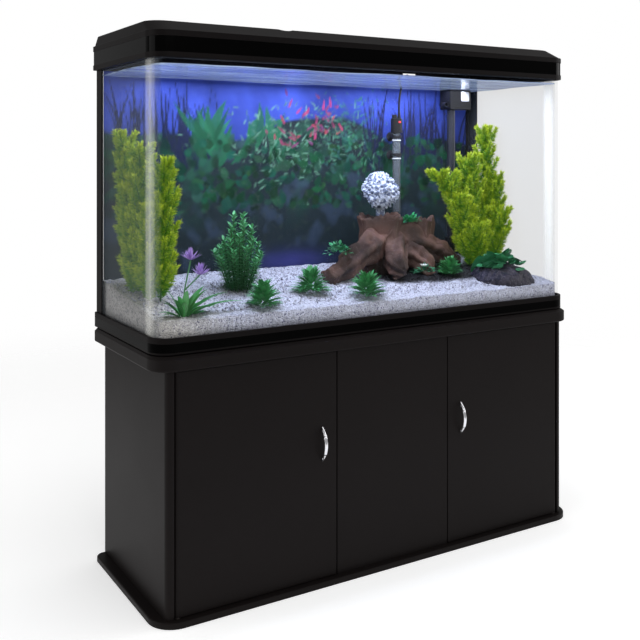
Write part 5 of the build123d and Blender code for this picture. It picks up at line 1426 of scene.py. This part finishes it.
class AQUARIUM_OT_water(bpy.types.Operator):
    """The water's surface, a thin rippled skin from pane to pane"""
    bl_idname = "aquarium.water"
    bl_label = "Water surface"

    def execute(self, context):
        columns, rows = 150, 56
        x, y = tank_plan(columns, rows)
        lift = 0.0012 * waves(np.stack([x, y, 0 * x], -1), 26.0, 91, 2)
        level = settings().water_level
        over = np.stack([x, y, level + 0.001 + lift], -1)
        under = over[:, ::-1] - [0, 0, 0.002]
        points = closed_sheet(over, under, level)
        made = piece("water_surface", points, grid_faces(columns + 2, 2 * rows, wrap_v=True),
                     finish("water_skin"))
        return {"FINISHED"}


class AQUARIUM_OT_equipment(bpy.types.Operator):
    """The heater's element and pilot lamp, and the pump's card"""
    bl_idname = "aquarium.equipment"
    bl_label = "Heater and pump details"

    def execute(self, context):
        hx = (TUBE_LOW.x + TUBE_HIGH.x) / 2
        hy = (TUBE_LOW.y + TUBE_HIGH.y) / 2
        low, high = TUBE_LOW.z + 0.014, TUBE_HIGH.z - 0.006
        # A ceramic former with a wire wound round it as a helix, 3.6 mm a turn.
        core = turned_points((hx, hy), [(0, low), (0.0058, low), (0.0062, low + 0.004),
                                        (0.0062, high - 0.04), (0.0085, high - 0.036),
                                        (0.0085, high), (0, high)], 24)
        turns = (high - 0.05 - low) / 0.0036
        s = np.linspace(0, 1, int(turns * 14))
        wind = 2 * np.pi * turns * s
        helix = np.stack([hx + 0.0072 * np.cos(wind), hy + 0.0072 * np.sin(wind),
                          low + 0.006 + (high - 0.056 - low) * s], -1)
        wire = tube_points(helix, np.full(len(s), 0.0007), 5)
        points, faces = joined([core, wire])
        rod = piece("heater_element", points, faces, finish("element"))
        # Two pale clip bands round the tube, each a rounded strip.
        reach = (TUBE_HIGH.x - TUBE_LOW.x) / 2
        bands = [turned_points((hx, hy), [
            (reach + 0.0002, z - 0.0016), (reach + 0.0009, z - 0.0012),
            (reach + 0.0011, z), (reach + 0.0009, z + 0.0012),
            (reach + 0.0002, z + 0.0016), (reach + 0.0002, z - 0.0016)], 48)
            for z in (0.984, 1.037)]
        rings = piece("heater_bands", *joined(bands), finish("soft_white"))
        # Pilot lamp: a small dome that looks forwards out of the cap.
        t = np.linspace(0, np.pi / 2, 8)[:, None]
        a = np.linspace(0, 2 * np.pi, 24, endpoint=False)[None, :]
        dome = np.stack([hx + 0.0045 * np.cos(t) * np.cos(a),
                         CAP_LOW.y + 0.0005 - 0.0020 * np.sin(t) + 0 * a,
                         PILOT_Z + 0.0030 * np.cos(t) * np.sin(a)], -1)
        shut = dome[:1].copy()
        shut[..., 0], shut[..., 2] = hx, PILOT_Z
        pilot = piece("pilot_lamp", np.concatenate([shut, dome]),
                      grid_faces(9, 24, wrap_v=True), finish("red_lamp"))
        # Card on the pump: a thin cushion with rounded corners, by a superellipse.
        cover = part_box("pump_cover")[0]
        a = np.linspace(0, 2 * np.pi, 64, endpoint=False)[None, :]
        ring = np.array([0.0, 0.9, 1.0, 1.0, 0.9, 0.0])[:, None]
        deep = np.array([0.0, 0.0, 0.0001, 0.0004, 0.0005, 0.0005])[:, None]
        c, s = np.cos(a), np.sin(a)
        round_ = (np.abs(c) ** 8 + np.abs(s) ** 8) ** (-1 / 8)
        card = np.stack([0.527 + 0.0155 * ring * round_ * c,
                         cover.y - deep + 0 * a,
                         1.172 + 0.0145 * ring * round_ * s], -1)
        label = piece("pump_card", card, grid_faces(6, 64, wrap_v=True),
                      finish("label_card"), smooth=False)
        return {"FINISHED"}


class AQUARIUM_OT_finishes(bpy.types.Operator):
    """Finishes of the cabinet, tank, hood, lamp, heater and pump"""
    bl_idname = "aquarium.finishes"
    bl_label = "Finishes"

    def execute(self, context):
        for name, members in NODE_FINISH.items():
            for member in members:
                mesh = NODES[member].data
                mesh.materials.clear()
                mesh.materials.append(finish(name))
        return {"FINISHED"}


class AQUARIUM_PT_panel(bpy.types.Panel):
    """Lists the aquarium's operators and settings"""
    bl_label = "Aquarium"
    bl_idname = "AQUARIUM_PT_panel"
    bl_space_type = "VIEW_3D"
    bl_region_type = "UI"
    bl_category = "Aquarium"

    def draw(self, context):
        for made in OPERATORS:
            self.layout.operator(made.bl_idname)
        for group in (context.scene.aquarium_settings, context.scene.aquarium_colours):
            for key in group.__annotations__:
                self.layout.prop(group, key)


OPERATORS = (AQUARIUM_OT_stage, AQUARIUM_OT_heater_cord, AQUARIUM_OT_background,
             AQUARIUM_OT_gravel, AQUARIUM_OT_stump, AQUARIUM_OT_rock, AQUARIUM_OT_coral,
             AQUARIUM_OT_ferns, AQUARIUM_OT_low_plants, AQUARIUM_OT_water,
             AQUARIUM_OT_equipment, AQUARIUM_OT_finishes)
CLASSES = (AquariumSettings, AquariumColours, *OPERATORS, AQUARIUM_PT_panel)


def register():
    for made in CLASSES:
        bpy.utils.register_class(made)
    bpy.types.Scene.aquarium_settings = bpy.props.PointerProperty(type=AquariumSettings)
    bpy.types.Scene.aquarium_colours = bpy.props.PointerProperty(type=AquariumColours)


def unregister():
    del bpy.types.Scene.aquarium_colours
    del bpy.types.Scene.aquarium_settings
    for made in reversed(CLASSES):
        bpy.utils.unregister_class(made)


def main():
    register()
    for made in OPERATORS:
        getattr(bpy.ops.aquarium, made.bl_idname.split(".")[1])()


if __name__ == "__main__":
    main()
